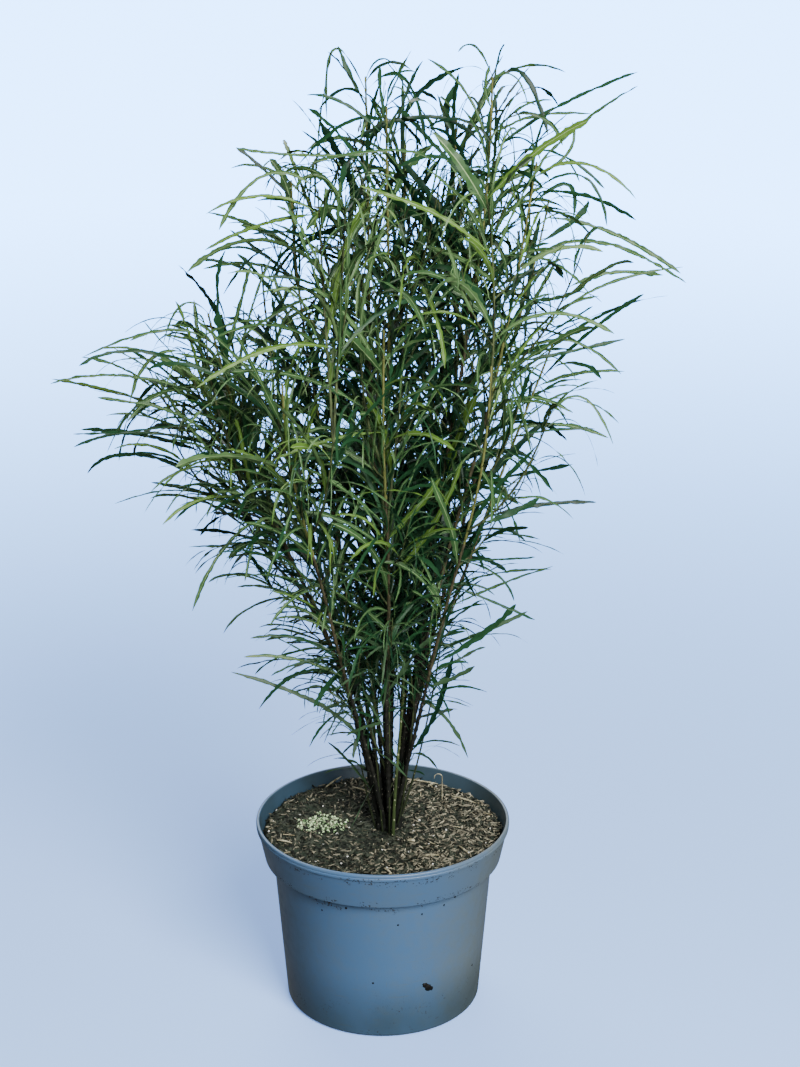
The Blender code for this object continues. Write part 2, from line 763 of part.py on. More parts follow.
def make_stem(stem, points, material, collection):
    """A bare lower stem, from a flat cut at the compost to where its leaves begin."""
    end = distance_at_height(points, stem.leafy_from)
    bare = thinned(cut_path(points, 0.0, end), BARE_STEM_THINNING)
    bare[1, :2] = bare[0, :2]
    whole = path_length(points)
    shares = [path_length(bare[: i + 1]) / whole if i else 0.0 for i in range(len(bare))]
    radii = [stem_radius(stem, share) for share in shares]
    radii[0] *= FOOT_FLARE
    limb = swept_limb("stem_" + stem.name, bare, radii, None, collection)
    limb.data.materials.append(material)
    limb.data.shade_smooth()
    limb.data.set_sharp_from_angle(angle=STEM_SHARP_ANGLE)
    return limb


def mass_shoots(index, stem, grown):
    """The leafy shoots of one mass, with the stem's own upper length first."""
    start = distance_at_height(grown[0], stem.leafy_from) + JOINT_GAP
    whole = path_length(grown[0])
    upper = thinned(cut_path(grown[0], start, whole), LEAFY_STEM_THINNING)
    shoots = [Shoot(upper, stem_radius(stem, start / whole), TWIG_SOLID_RADIUS, index + 1)]
    for number, points in enumerate(grown[1:]):
        seed = 20 + 10 * index + number
        thin = thinned(points, SHOOT_THINNING)
        shoots.append(Shoot(thin, SHOOT_RADIUS, TWIG_SOLID_RADIUS, seed))
    return shoots


def main():
    clear_scene()
    plant = new_collection("potted_buckthorn")
    cutters = new_collection("cutters")
    guides = new_collection("guides")
    section = twig_section(guides)
    plastic = make_material("blue_grey_plastic", (0.10, 0.20, 0.33), 0.45)
    compost = make_material("compost", (0.045, 0.03, 0.02), 0.95)
    bark = make_material("brown_bark", (0.12, 0.07, 0.045), 0.75)
    green = make_material("leaf_green", (0.06, 0.15, 0.035), 0.5)
    make_pot(plastic, plant, cutters)
    make_soil(compost, plant)
    paths = stem_paths()
    grown = grow_side_shoots(paths)
    for index, stem in enumerate(STEMS):
        make_stem(stem, paths[index], bark, plant)
        shoots = mass_shoots(index, stem, grown[index])
        own = segments(grown[index])
        others = segments([p for i, mass in enumerate(grown) if i != index for p in mass])
        leaves = grow_leaves(index, shoots, grown, own, others)
        foliage_mass("foliage_" + stem.name, shoots, leaves, section, green, plant)
    for mesh in [mesh for mesh in bpy.data.meshes if mesh.users == 0]:
        bpy.data.meshes.remove(mesh)


main()
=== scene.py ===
"""A columnar buckthorn in its nursery pot, with its bark, leaves, compost and plastic.

Stems, side shoots and the leaves that set the outline follow the rule of the part's
solids. Finer twigs, and every leaf between, grow on from them here by the same rule.

Lengths are in metres. The origin is the centre of the pot's flat underside, +Z points
up, and the front of the plant faces -Y.
"""

import json
import logging
import math
import random
from dataclasses import dataclass, field
from enum import Enum
from typing import Any, Callable, Iterator

import bmesh
import bpy
import numpy as np
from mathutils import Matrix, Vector

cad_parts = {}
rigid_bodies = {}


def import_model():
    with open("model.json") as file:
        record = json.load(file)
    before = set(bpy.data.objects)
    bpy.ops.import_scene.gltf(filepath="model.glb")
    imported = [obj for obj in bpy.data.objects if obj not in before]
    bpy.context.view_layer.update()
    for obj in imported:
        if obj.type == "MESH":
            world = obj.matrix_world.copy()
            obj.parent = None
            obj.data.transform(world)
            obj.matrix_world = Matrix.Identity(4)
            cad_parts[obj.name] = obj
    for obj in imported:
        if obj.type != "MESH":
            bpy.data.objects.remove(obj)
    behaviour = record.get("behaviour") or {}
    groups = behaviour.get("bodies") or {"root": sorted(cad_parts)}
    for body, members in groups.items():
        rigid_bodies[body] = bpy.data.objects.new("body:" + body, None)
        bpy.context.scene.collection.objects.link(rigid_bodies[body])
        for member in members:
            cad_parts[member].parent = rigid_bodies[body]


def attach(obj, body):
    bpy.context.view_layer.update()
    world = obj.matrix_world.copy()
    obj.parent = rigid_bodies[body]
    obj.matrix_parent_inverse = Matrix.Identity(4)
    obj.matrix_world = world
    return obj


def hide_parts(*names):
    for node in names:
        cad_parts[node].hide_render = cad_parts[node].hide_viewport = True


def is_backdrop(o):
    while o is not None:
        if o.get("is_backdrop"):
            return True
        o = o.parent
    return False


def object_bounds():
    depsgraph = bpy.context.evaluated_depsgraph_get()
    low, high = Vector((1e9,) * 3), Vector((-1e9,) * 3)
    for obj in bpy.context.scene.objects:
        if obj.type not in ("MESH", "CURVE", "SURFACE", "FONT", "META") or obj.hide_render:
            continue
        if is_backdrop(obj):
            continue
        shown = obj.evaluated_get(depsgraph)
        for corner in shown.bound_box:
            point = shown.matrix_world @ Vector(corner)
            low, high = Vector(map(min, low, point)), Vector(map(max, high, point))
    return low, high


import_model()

LOG = logging.getLogger("buckthorn")
CAD_LOW, CAD_HIGH = (np.array(corner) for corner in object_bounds())
BODY = "root"

Socket = bpy.types.NodeSocket
Colour = tuple[float, float, float]
Place = tuple[float, float, float]
Pair = tuple[float, float]
Points = np.ndarray

GOLDEN_ANGLE = math.radians(137.5)
UP = np.array([0.0, 0.0, 1.0])
LEFT = np.array([-1.0, 0.0, 0.0])
EVEN = (1.0, 1.0, 1.0)
PATH_ATTRIBUTES = ("across", "upward", "half_width", "side", "radius_here")
FEWEST_STEPS = 8
NODE_SEEDS = 1000
EXTRA_SEEDS = 500
TWIG_SEEDS = 40
MERGED = 0.00002
BARK_STEP = 0.0017


class Slot(Enum):
    """The record's material slots."""

    PLASTIC = "pot_plastic"
    COMPOST = "compost"
    BARK = "bark"
    FOLIAGE = "foliage"


# Nodes and finishes


class Bench:
    """Puts nodes into one node tree."""

    def __init__(self, tree: bpy.types.NodeTree) -> None:
        """Works on a shader or geometry tree."""
        self.tree = tree

    def node(self, kind: str, sockets: dict[str | int, Any] | None = None, **settings: Any) -> bpy.types.Node:
        """Adds a node.

        Args:
            kind: The node's Blender type.
            sockets: Values or links for its input sockets, by name or by number.
            settings: Its own settings, which are set first.

        Returns:
            The new node.
        """
        made = self.tree.nodes.new(kind)
        for key, value in settings.items():
            setattr(made, key, value)
        for key, value in (sockets or {}).items():
            if isinstance(value, Signal):
                value = value.socket
            if isinstance(value, Socket):
                self.tree.links.new(value, made.inputs[key])
            else:
                made.inputs[key].default_value = value
        return made

    def out(
        self, kind: str, sockets: dict[str | int, Any] | None = None, output: str | int = 0, **settings: Any
    ) -> Socket:
        """Adds a node for one of its outputs.

        Args:
            kind: The node's Blender type.
            sockets: Values or links for its input sockets, by name or by number.
            output: The name or number of the output that is wanted.
            settings: Its own settings, which are set first.

        Returns:
            The output's socket.
        """
        return self.node(kind, sockets, **settings).outputs[output]

    def blend(self, share: Any, first: Any, second: Any) -> Socket:
        """Mixes two colours.

        Args:
            share: How much of the second colour shows, as a number or a signal.
            first: A colour, or a socket that gives one.
            second: A colour, or a socket that gives one.

        Returns:
            The socket of the mixed colour.
        """
        paints = [(*c, 1.0) if isinstance(c, tuple) else c for c in (first, second)]
        return self.out("ShaderNodeMix", {0: share, 6: paints[0], 7: paints[1]}, 2, data_type="RGBA")


class Signal:
    """A number that varies over a shape, with Python's operators as Math nodes."""

    def __init__(self, bench: Bench, socket: Socket) -> None:
        """Wraps a socket of a bench's tree."""
        self.bench = bench
        self.socket = socket

    def _math(self, operation: str, *values: Any) -> "Signal":
        """Adds a Math node on some values and returns what it gives."""
        sockets = dict(enumerate(values))
        return Signal(self.bench, self.bench.out("ShaderNodeMath", sockets, operation=operation))

    def __add__(self, other: Any) -> "Signal":
        """self + other."""
        return self._math("ADD", self, other)

    __radd__ = __add__

    def __sub__(self, other: Any) -> "Signal":
        """self - other."""
        return self._math("SUBTRACT", self, other)

    def __rsub__(self, other: Any) -> "Signal":
        """other - self."""
        return self._math("SUBTRACT", other, self)

    def __mul__(self, other: Any) -> "Signal":
        """self * other."""
        return self._math("MULTIPLY", self, other)

    __rmul__ = __mul__

    def __abs__(self) -> "Signal":
        """The size of self, without its sign."""
        return self._math("ABSOLUTE", self)

    def __gt__(self, other: Any) -> "Signal":
        """One where self is greater than other, else nought."""
        return self._math("GREATER_THAN", self, other)

    def sign(self) -> "Signal":
        """Minus one, nought or one."""
        return self._math("SIGN", self)

    def ease(self, low: float, high: float) -> "Signal":
        """Rises smoothly from nought to one.

        Args:
            low: Where the rise begins.
            high: Where it ends.

        Returns:
            The risen signal.
        """
        sockets = {0: self, 1: low, 2: high, 3: 0.0, 4: 1.0}
        eased = self.bench.out("ShaderNodeMapRange", sockets, interpolation_type="SMOOTHSTEP")
        return Signal(self.bench, eased)


class Paint(Bench):
    """A bench for one material, with its patterns on Object coordinates."""

    def __init__(self, name: str) -> None:
        """Starts a material.

        Args:
            name: Its name.
        """
        self.material = bpy.data.materials.new(name)
        self.material.use_nodes = True
        super().__init__(self.material.node_tree)
        self.shader = self.tree.nodes["Principled BSDF"]
        self.place = self.out("ShaderNodeTexCoord", None, "Object")

    def stretched(self, stretch: Colour, shift: float = 0.0) -> Socket:
        """The place, for a pattern that is stretched along X, Y and Z, and moved."""
        scale = tuple(1.0 / times for times in stretch)
        return self.out("ShaderNodeMapping", {0: self.place, 1: (shift,) * 3, 3: scale})

    def noise(self, size: float, detail: float = 3.0, stretch: Colour = EVEN, shift: float = 0.0) -> Signal:
        """A cloudy pattern.

        Args:
            size: The size of its clouds, in metres.
            detail: How many finer octaves it has.
            stretch: How many times longer its clouds are, along X, Y and Z.
            shift: Moves it to another part of the pattern.

        Returns:
            The pattern, which runs from about 0.3 to 0.7.
        """
        sockets = {"Vector": self.stretched(stretch, shift), "Scale": 1.0 / size, "Detail": detail}
        return Signal(self, self.out("ShaderNodeTexNoise", sockets))

    def dots(self, spacing: float, stretch: Colour = EVEN) -> Signal:
        """The distance from scattered dots, in spacings."""
        sockets = {"Vector": self.stretched(stretch), "Scale": 1.0 / spacing}
        return Signal(self, self.out("ShaderNodeTexVoronoi", sockets, "Distance"))

    def coordinate(self, axis: int) -> Signal:
        """How far a place is to the right of the pot's axis, for 0, or over the ground, for 2."""
        return Signal(self, self.out("ShaderNodeSeparateXYZ", {0: self.place}, axis))

    def from_axis(self) -> Signal:
        """The distance from the pot's axis."""
        level = self.out("ShaderNodeVectorMath", {0: self.place, 1: (1.0, 1.0, 0.0)}, operation="MULTIPLY")
        return Signal(self, self.out("ShaderNodeVectorMath", {0: level}, "Value", operation="LENGTH"))

    def relief(self, pattern: Signal, depth: float, strength: float) -> None:
        """Embosses a pattern.

        Args:
            pattern: The pattern that stands out where it is high.
            depth: The depth of the relief, in metres.
            strength: How much of the relief shows.
        """
        sockets = {"Height": pattern, "Distance": depth, "Strength": strength}
        self.give("Normal", self.out("ShaderNodeBump", sockets))

    def give(self, name: str, value: Any) -> None:
        """Gives the shader a value or a link.

        Args:
            name: The shader's input.
            value: A number, a plain colour, a signal or a socket.
        """
        if isinstance(value, Signal):
            value = value.socket
        if isinstance(value, Socket):
            self.tree.links.new(value, self.shader.inputs[name])
        else:
            self.shader.inputs[name].default_value = (*value, 1.0) if isinstance(value, tuple) else value

    def finished(self, colour: Any, gloss: Any, shine: float = 0.5) -> bpy.types.Material:
        """Sets what the surface does to light.

        Args:
            colour: Its base colour, plain or as a socket.
            gloss: Its roughness, as a number or a signal.
            shine: How strongly it reflects.

        Returns:
            The material.
        """
        self.give("Base Color", colour)
        self.give("Roughness", gloss)
        self.give("Specular IOR Level", shine)
        return self.material


@dataclass(frozen=True)
class LeafFinish:
    """The blade of a leaf: one plain tone with fine veining in its surface."""

    name: str
    tone: Colour
    gloss: float = 0.46
    shine: float = 0.22
    vein: float = 0.0016
    depth: float = 0.00025

    def make(self) -> bpy.types.Material:
        """Makes the material.

        Returns:
            The material.
        """
        paint = Paint(self.name)
        paint.relief(paint.noise(self.vein, 2.0), self.depth, 0.5)
        return paint.finished(self.tone, self.gloss, self.shine)


@dataclass(frozen=True)
class BarkFinish:
    """Young bark: streaks along the limb, with pale pores scattered over it."""

    name: str
    dark: Colour
    light: Colour
    pore: Colour
    pore_size: float
    gloss: float
    foot_from: float = 0.15
    foot_to: float = 0.34
    shine: float = 0.2
    streak: float = 0.0022
    patch: float = 0.018
    pore_spacing: float = 0.0034
    depth: float = 0.0005

    def make(self) -> bpy.types.Material:
        """Makes the material.

        Returns:
            The material.
        """
        paint = Paint(self.name)
        streaks = paint.noise(self.streak, 3.0, (1.0, 1.0, 6.0))
        patches = paint.noise(self.patch, 2.0, shift=3.0)
        shade = (streaks * 0.7 + patches * 0.3).ease(0.38, 0.62)
        dots = paint.dots(self.pore_spacing, (1.0, 1.0, 1.6))
        pores = 1.0 - dots.ease(self.pore_size * 0.7, self.pore_size)
        above_foot = paint.coordinate(2).ease(self.foot_from, self.foot_to)
        wood = paint.blend(above_foot * shade, self.dark, self.light)
        paint.relief(streaks + pores * 0.5, self.depth, 0.7)
        return paint.finished(paint.blend(pores * 0.8, wood, self.pore), self.gloss, self.shine)


@dataclass(frozen=True)
class PlasticFinish:
    """Moulded blue-grey plastic, a little dusty, with splashes of compost; painted shade at the foot, inside
    the rim and partly on the right side.
    """

    name: str
    plastic: Colour
    dust_and_side_shade: Colour
    dirt: Colour
    grime_and_painted_shade: Colour
    pot: "NurseryPot"

    def splashes(self, paint: Paint, at_foot: Signal, inner: Signal) -> Signal:
        """Where compost has splashed: under the collar and the rim, and little elsewhere.

        Args:
            paint: The material's bench.
            at_foot: How near a place is to the pot's foot.
            inner: Where the wall's inside is.

        Returns:
            How much dirt a place has.
        """
        height = paint.coordinate(2)
        under_collar = 1.0 - abs(height - (self.pot.step - 0.0020)).ease(0.0010, 0.0100)
        under_rim = 1.0 - abs(height - (self.pot.height - 0.0080)).ease(0.0008, 0.0060)
        zone = under_collar * 0.90 + under_rim * 0.75 + at_foot * 0.12 + 0.09
        patchy = paint.noise(0.016, 3.0, shift=9.0).ease(0.46, 0.58)
        grit = paint.noise(0.0018, 3.0, shift=11.0).ease(0.58, 0.64)
        specks = 1.0 - paint.dots(0.0042).ease(0.10, 0.17)
        return ((specks * 1.2 + grit) * patchy * zone * 1.7).ease(0.16, 0.5) * (1.0 - inner)

    def make(self) -> bpy.types.Material:
        """Makes the material.

        Returns:
            The material.
        """
        paint = Paint(self.name)
        height = paint.coordinate(2)
        clouds = paint.noise(0.055, 4.0, (1.0, 1.0, 1.6))
        film = (clouds * 0.6 + paint.noise(0.008, 3.0, shift=5.0) * 0.4).ease(0.42, 0.66)
        scuffs = paint.noise(0.0030, 2.0, (9.0, 9.0, 1.0), 2.0).ease(0.66, 0.72)
        drips = paint.noise(0.0022, 2.0, (1.0, 1.0, 12.0), 6.0).ease(0.68, 0.74)
        at_foot = 1.0 - height.ease(0.004, 0.070)
        pot = self.pot
        slope = (pot.collar_top_radius - pot.collar_foot_radius) / pot.collar_height
        outside = (height - pot.step) * slope + pot.collar_foot_radius
        inner = (outside - paint.from_axis()).ease(0.0006, 0.0014) * height.ease(0.140, 0.142)
        dirt = self.splashes(paint, at_foot, inner)
        # The right side greyed towards the dust tone: partly a dust film, partly painted shade.
        right_side_dust_and_shade = paint.coordinate(0).ease(0.020, 0.090) * (clouds * 0.5 + 0.35)
        body = paint.blend(film * 0.26 + right_side_dust_and_shade, self.plastic, self.dust_and_side_shade)
        body = paint.blend((scuffs + drips) * 0.28, body, self.dust_and_side_shade)
        # Inside the rim: partly a dirt film, partly painted shade of the recess and of the plant's shadow.
        body = paint.blend(inner * (clouds * 0.5 + 0.62), body, self.grime_and_painted_shade)
        # At the foot: painted shade, darker towards the bottom.
        body = paint.blend(at_foot * (clouds * 0.7 + 0.32), body, self.grime_and_painted_shade)
        paint.relief(paint.noise(0.0012, 2.0) * 0.25 + clouds + dirt * 0.8, 0.0006, 0.35)
        return paint.finished(paint.blend(dirt, body, self.dirt), film * 0.14 + dirt * 0.3 + 0.37)


@dataclass(frozen=True)
class CompostFinish:
    """Moist peat: dark crumbs with paler fibre between them."""

    name: str
    dark: Colour
    light: Colour
    fibre: Colour
    crumb: float = 0.0045
    clod: float = 0.016
    fibre_size: float = 0.0016
    depth: float = 0.002

    def make(self) -> bpy.types.Material:
        """Makes the material.

        Returns:
            The material.
        """
        paint = Paint(self.name)
        crumbs = paint.noise(self.crumb, 5.0)
        clods = paint.noise(self.clod, 3.0, shift=7.0)
        fibres = paint.noise(self.fibre_size, 2.0, (4.0, 1.0, 1.0)).ease(0.60, 0.68)
        cross_fibres = paint.noise(self.fibre_size, 2.0, (1.0, 4.0, 1.0), 4.0).ease(0.60, 0.68)
        tone = paint.blend((crumbs * 0.6 + clods * 0.4).ease(0.42, 0.60), self.dark, self.light)
        paint.relief(crumbs + fibres * 0.3, self.depth, 0.9)
        return paint.finished(paint.blend((fibres + cross_fibres) * 0.35, tone, self.fibre), 0.95, 0.1)


@dataclass(frozen=True)
class GrainFinish:
    """Small loose pieces of one stuff: fibre, crumbs or granules."""

    name: str
    dark: Colour
    light: Colour
    cloud: float = 0.006
    gloss: float = 0.8
    shine: float = 0.2
    grain: float = 0.0009
    depth: float = 0.0003

    def make(self) -> bpy.types.Material:
        """Makes the material.

        Returns:
            The material.
        """
        paint = Paint(self.name)
        clouds = paint.noise(self.cloud, 3.0)
        paint.relief(paint.noise(self.grain, 2.0), self.depth, 0.6)
        tone = paint.blend(clouds.ease(0.38, 0.62), self.dark, self.light)
        return paint.finished(tone, self.gloss, self.shine)


# Geometry recipes


class Recipe(Bench):
    """A Geometry Nodes tree with named inputs, whose result becomes a plain mesh."""

    def __init__(self, name: str, numbers: tuple[str, ...], others: dict[str, str]) -> None:
        """Starts the tree.

        Args:
            name: The tree's name.
            numbers: The names of its inputs that are plain numbers.
            others: The kinds of its other inputs beside the finish, by name.
        """
        super().__init__(bpy.data.node_groups.new(name, "GeometryNodeTree"))
        faces = self.tree.interface
        for way in ("OUTPUT", "INPUT"):
            faces.new_socket("Geometry", in_out=way, socket_type="NodeSocketGeometry")
        kinds = {**dict.fromkeys(numbers, "Float"), **others, "Finish": "Material"}
        self.identifiers = {
            label: faces.new_socket(label, in_out="INPUT", socket_type="NodeSocket" + kind).identifier
            for label, kind in kinds.items()
        }
        self.given = self.node("NodeGroupInput").outputs

    def number(self, label: str) -> Signal:
        """A named input as a signal."""
        return Signal(self, self.given[label])

    def value(self, name: str) -> Signal:
        """A number that the shape's points carry."""
        return Signal(self, self.out("GeometryNodeInputNamedAttribute", {"Name": name}, data_type="FLOAT"))

    def vector(self, name: str) -> Socket:
        """A vector that the shape's points carry."""
        return self.out("GeometryNodeInputNamedAttribute", {"Name": name}, data_type="FLOAT_VECTOR")

    def scaled(self, vector: Socket, size: Any) -> Socket:
        """A vector times a number."""
        return self.out("ShaderNodeVectorMath", {0: vector, "Scale": size}, operation="SCALE")

    def combined(self, x: Any = 0.0, y: Any = 0.0, z: Any = 0.0) -> Socket:
        """A vector from its three numbers."""
        return self.out("ShaderNodeCombineXYZ", {0: x, 1: y, 2: z})

    def moved(self, geometry: Socket, offset: Socket) -> Socket:
        """The geometry with its points moved."""
        return self.out("GeometryNodeSetPosition", {0: geometry, "Offset": offset})

    def noise(self, size: Any, w: Any, detail: float = 1.0) -> Signal:
        """A cloudy pattern from about -0.4 to 0.4.

        Args:
            size: How many clouds there are to the metre.
            w: Moves it to another part of the pattern.
            detail: How many finer octaves it has.

        Returns:
            The pattern, evaluated where the shape's points are.
        """
        sockets = {"Scale": size, "W": w, "Detail": detail}
        return (Signal(self, self.out("ShaderNodeTexNoise", sockets, noise_dimensions="4D")) - 0.5) * 2.0

    def end(self, geometry: Socket, smooth: bool = True) -> None:
        """Ends the tree: instances realized, and the finish set.

        Args:
            geometry: What the tree has made.
            smooth: Whether its faces are shaded smooth.
        """
        if smooth:
            geometry = self.out("GeometryNodeSetShadeSmooth", {"Geometry": geometry})
        real = self.out("GeometryNodeRealizeInstances", {"Geometry": geometry})
        sockets = {"Geometry": real, "Material": self.given["Finish"]}
        self.node("NodeGroupOutput", {0: self.out("GeometryNodeSetMaterial", sockets)})

    def run(self, name: str, source: bpy.types.Object, values: dict[str, Any]) -> bpy.types.Object:
        """Runs the tree on an object, which it uses up.

        Args:
            name: The name of the piece that comes out.
            source: The object that carries the geometry going in.
            values: A value for each named input.

        Returns:
            The piece, as a plain mesh at the origin.
        """
        modifier = source.modifiers.new(name, "NODES")
        modifier.node_group = self.tree
        for label, value in values.items():
            modifier[self.identifiers[label]] = value
        mesh = made_mesh(name, source)
        bpy.data.objects.remove(source, do_unlink=True)
        for label in PATH_ATTRIBUTES:
            if label in mesh.attributes:
                mesh.attributes.remove(mesh.attributes[label])
        return new_object(name, mesh)


class BladeRecipe(Recipe):
    """Leaf blades along their midribs, folded, with an uneven, rippled margin."""

    def __init__(self) -> None:
        """Builds the tree."""
        numbers = ("Fold", "Waver", "Ripple", "Waves", "Rib Share", "Ribs", "Seed")
        super().__init__("leaf_blades", numbers, {"Rows": "Int"})
        half = self.value("half_width")
        midribs = self.out("GeometryNodeMeshToCurve", {0: self.given["Geometry"]})
        sockets = {"Curve": midribs, "Normal": self.vector("across")}
        turned = self.out("GeometryNodeSetCurveNormal", sockets, mode="FREE")
        sockets = {"Curve": turned, "Profile Curve": self.profile(), "Scale": half}
        blades = self.out("GeometryNodeCurveToMesh", sockets)
        edge, seed, waves = self.value("side"), self.number("Seed"), self.number("Waves")
        uneven = self.noise(waves, edge * 3.0 + seed)
        rippled = self.noise(waves * 0.6, edge * 5.0 + seed + 20.0)
        sideways = self.scaled(self.vector("across"), edge * half * uneven * self.number("Waver"))
        upwards = self.scaled(self.vector("upward"), abs(edge) * half * rippled * self.number("Ripple"))
        offset = self.out("ShaderNodeVectorMath", {0: sideways, 1: upwards}, operation="ADD")
        is_blade = abs(edge) > 0.3
        unwanted = 1.0 - abs(is_blade - self.number("Ribs"))
        sockets = {"Geometry": self.moved(blades, offset), "Selection": unwanted > 0.5}
        self.end(self.out("GeometryNodeDeleteGeometry", sockets, domain="FACE"))

    def profile(self) -> Socket:
        """Draws the blade's section: two halves folded up, with the midrib between them.

        Returns:
            The section, as a curve.
        """
        ends = {"Start Location": (-1.0, 0.0, 0.0), "Offset": (1.0, 0.0, 0.0)}
        sockets = {"Count": self.given["Rows"], **ends}
        line = self.out("GeometryNodeMeshLine", sockets, mode="END_POINTS")
        place = self.out("GeometryNodeInputPosition")
        along_line = Signal(self, self.out("ShaderNodeSeparateXYZ", {0: place}))
        margin = abs(along_line) > 0.9
        side = along_line.sign() * (margin + (1.0 - margin) * self.number("Rib Share"))
        sockets = {"Geometry": line, "Name": "side", "Value": side}
        marked = self.out("GeometryNodeStoreNamedAttribute", sockets, data_type="FLOAT", domain="POINT")
        flat_side = self.value("side")
        section = self.combined(flat_side, abs(flat_side) * self.number("Fold"))
        folded = self.out("GeometryNodeSetPosition", {0: marked, "Position": section})
        return self.out("GeometryNodeMeshToCurve", {0: folded})


@dataclass(frozen=True)
class LimbLook:
    """How round limbs look: their sides, the bark's relief and grain, and the finish."""

    sides: int
    relief: float
    grain: float
    seed: float
    finish: Any


class LimbRecipe(Recipe):
    """Round limbs along their paths, with the bark's relief."""

    def __init__(self) -> None:
        """Builds the tree."""
        super().__init__("limbs", ("Relief", "Grain", "Seed"), {"Sides": "Int"})
        paths = self.out("GeometryNodeMeshToCurve", {0: self.given["Geometry"]})
        sockets = {"Resolution": self.given["Sides"], "Radius": 1.0}
        ring = self.out("GeometryNodeCurvePrimitiveCircle", sockets)
        radius = self.value("radius_here")
        sockets = {"Curve": paths, "Profile Curve": ring, "Scale": radius, "Fill Caps": True}
        limbs = self.out("GeometryNodeCurveToMesh", sockets)
        rough = self.noise(self.number("Grain"), self.number("Seed"), 2.0)
        outwards = self.out("GeometryNodeInputNormal")
        offset = self.scaled(outwards, rough * radius * self.number("Relief"))
        self.end(self.moved(limbs, offset))

    def lay(
        self, name: str, paths: list[Points], radii: list[np.ndarray], look: LimbLook
    ) -> bpy.types.Object:
        """Makes one piece of limbs.

        Args:
            name: The piece's name.
            paths: The points of each limb.
            radii: The radius of each limb at its points.
            look: How they look.

        Returns:
            The piece.
        """
        values = {"Sides": look.sides, "Relief": look.relief, "Grain": look.grain, "Seed": look.seed}
        source = path_object(name + "_paths", paths, {"radius_here": radii})
        return self.run(name, source, {**values, "Finish": look.finish.make()})


class ReliefRecipe(Recipe):
    """A surface raised and sunk in lumps and crumbs."""

    def __init__(self) -> None:
        """Builds the tree."""
        super().__init__("uneven_surface", ("Lump", "Lumps", "Crumb", "Crumbs", "Seed"), {})
        seed = self.number("Seed")
        lumps = self.noise(self.number("Lumps"), seed, 2.0) * self.number("Lump")
        crumbs = self.noise(self.number("Crumbs"), seed + 7.0, 3.0) * self.number("Crumb")
        rise = (lumps + crumbs) * self.value("free")
        self.end(self.moved(self.given["Geometry"], self.combined(z=rise)))


class ScatterRecipe(Recipe):
    """Small pieces strewn over a surface, each turned and sized by chance."""

    def __init__(self) -> None:
        """Builds the tree."""
        numbers = ("Density", "Smallest", "Largest", "Tilt", "Lift")
        super().__init__("strewn_pieces", numbers, {"Piece": "Object", "Seed": "Int"})
        seed, tilt = self.given["Seed"], self.number("Tilt")
        density = self.value("cover") * self.number("Density")
        sockets = {"Mesh": self.given["Geometry"], "Density": density, "Seed": seed}
        points = self.out("GeometryNodeDistributePointsOnFaces", sockets)
        lowest = self.combined(tilt * -1.0, tilt * -1.0)
        sockets = {0: lowest, 1: self.combined(tilt, tilt, math.tau), "Seed": seed}
        turn = self.out("FunctionNodeRandomValue", sockets, data_type="FLOAT_VECTOR")
        sockets = {2: self.given["Smallest"], 3: self.given["Largest"], "Seed": self.number("Seed") + 1.0}
        size = self.out("FunctionNodeRandomValue", sockets, 1, data_type="FLOAT")
        piece = self.out("GeometryNodeObjectInfo", {"Object": self.given["Piece"]}, "Geometry")
        sockets = {"Points": points, "Instance": piece, "Rotation": turn, "Scale": size}
        strewn = self.out("GeometryNodeInstanceOnPoints", sockets)
        sockets = {"Instances": strewn, "Translation": self.combined(z=self.given["Lift"])}
        self.end(self.out("GeometryNodeTranslateInstances", sockets), smooth=False)


def new_object(name: str, data: bpy.types.ID) -> bpy.types.Object:
    """Links a new object at the origin.

    Args:
        name: Its name.
        data: Its mesh, light or camera.

    Returns:
        The object.
    """
    item = bpy.data.objects.new(name, data)
    bpy.context.scene.collection.objects.link(item)
    return item


def made_mesh(name: str, item: bpy.types.Object) -> bpy.types.Mesh:
    """Makes a mesh of what an object's modifiers give.

    Args:
        name: The mesh's name.
        item: The object.

    Returns:
        The mesh.
    """
    bpy.context.view_layer.update()
    mesh = bpy.data.meshes.new_from_object(item.evaluated_get(bpy.context.evaluated_depsgraph_get()))
    mesh.name = name
    return mesh


def free_mesh(name: str, shape: bmesh.types.BMesh) -> bpy.types.Mesh:
    """Makes a mesh of a shape.

    Args:
        name: The mesh's name.
        shape: The shape, which is freed.

    Returns:
        The mesh.
    """
    mesh = bpy.data.meshes.new(name)
    shape.to_mesh(mesh)
    shape.free()
    return mesh


def path_object(name: str, paths: list[Points], values: dict[str, list[np.ndarray]]) -> bpy.types.Object:
    """Paths as one mesh of edges that carries values at its points.

    Args:
        name: The object's name.
        paths: The points of each path.
        values: For each attribute, an array for each path.

    Returns:
        The object, which a recipe then uses up.
    """
    edges, first = [], 0
    for path in paths:
        edges += [(first + i, first + i + 1) for i in range(len(path) - 1)]
        first += len(path)
    mesh = bpy.data.meshes.new(name)
    mesh.from_pydata(np.concatenate(paths).tolist(), edges, [])
    for label, arrays in values.items():
        joined = np.concatenate(arrays)
        kind, key = ("FLOAT_VECTOR", "vector") if joined.ndim == 2 else ("FLOAT", "value")
        mesh.attributes.new(label, kind, "POINT").data.foreach_set(key, joined.ravel())
    return new_object(name, mesh)


def screwed(name: str, section: list[Pair], steps: int) -> bpy.types.Object:
    """A section that a live modifier turns about the pot's axis.

    Args:
        name: The object's name.
        section: The radius and height of each of its points.
        steps: The steps of a whole turn.

    Returns:
        The object.
    """
    mesh = bpy.data.meshes.new(name)
    points = [(radius, 0.0, height) for radius, height in section]
    mesh.from_pydata(points, [(i, i + 1) for i in range(len(points) - 1)], [])
    item = new_object(name, mesh)
    screw = item.modifiers.new("turned", "SCREW")
    screw.steps = screw.render_steps = steps
    screw.use_merge_vertices = True
    screw.merge_threshold = 0.00005
    return item


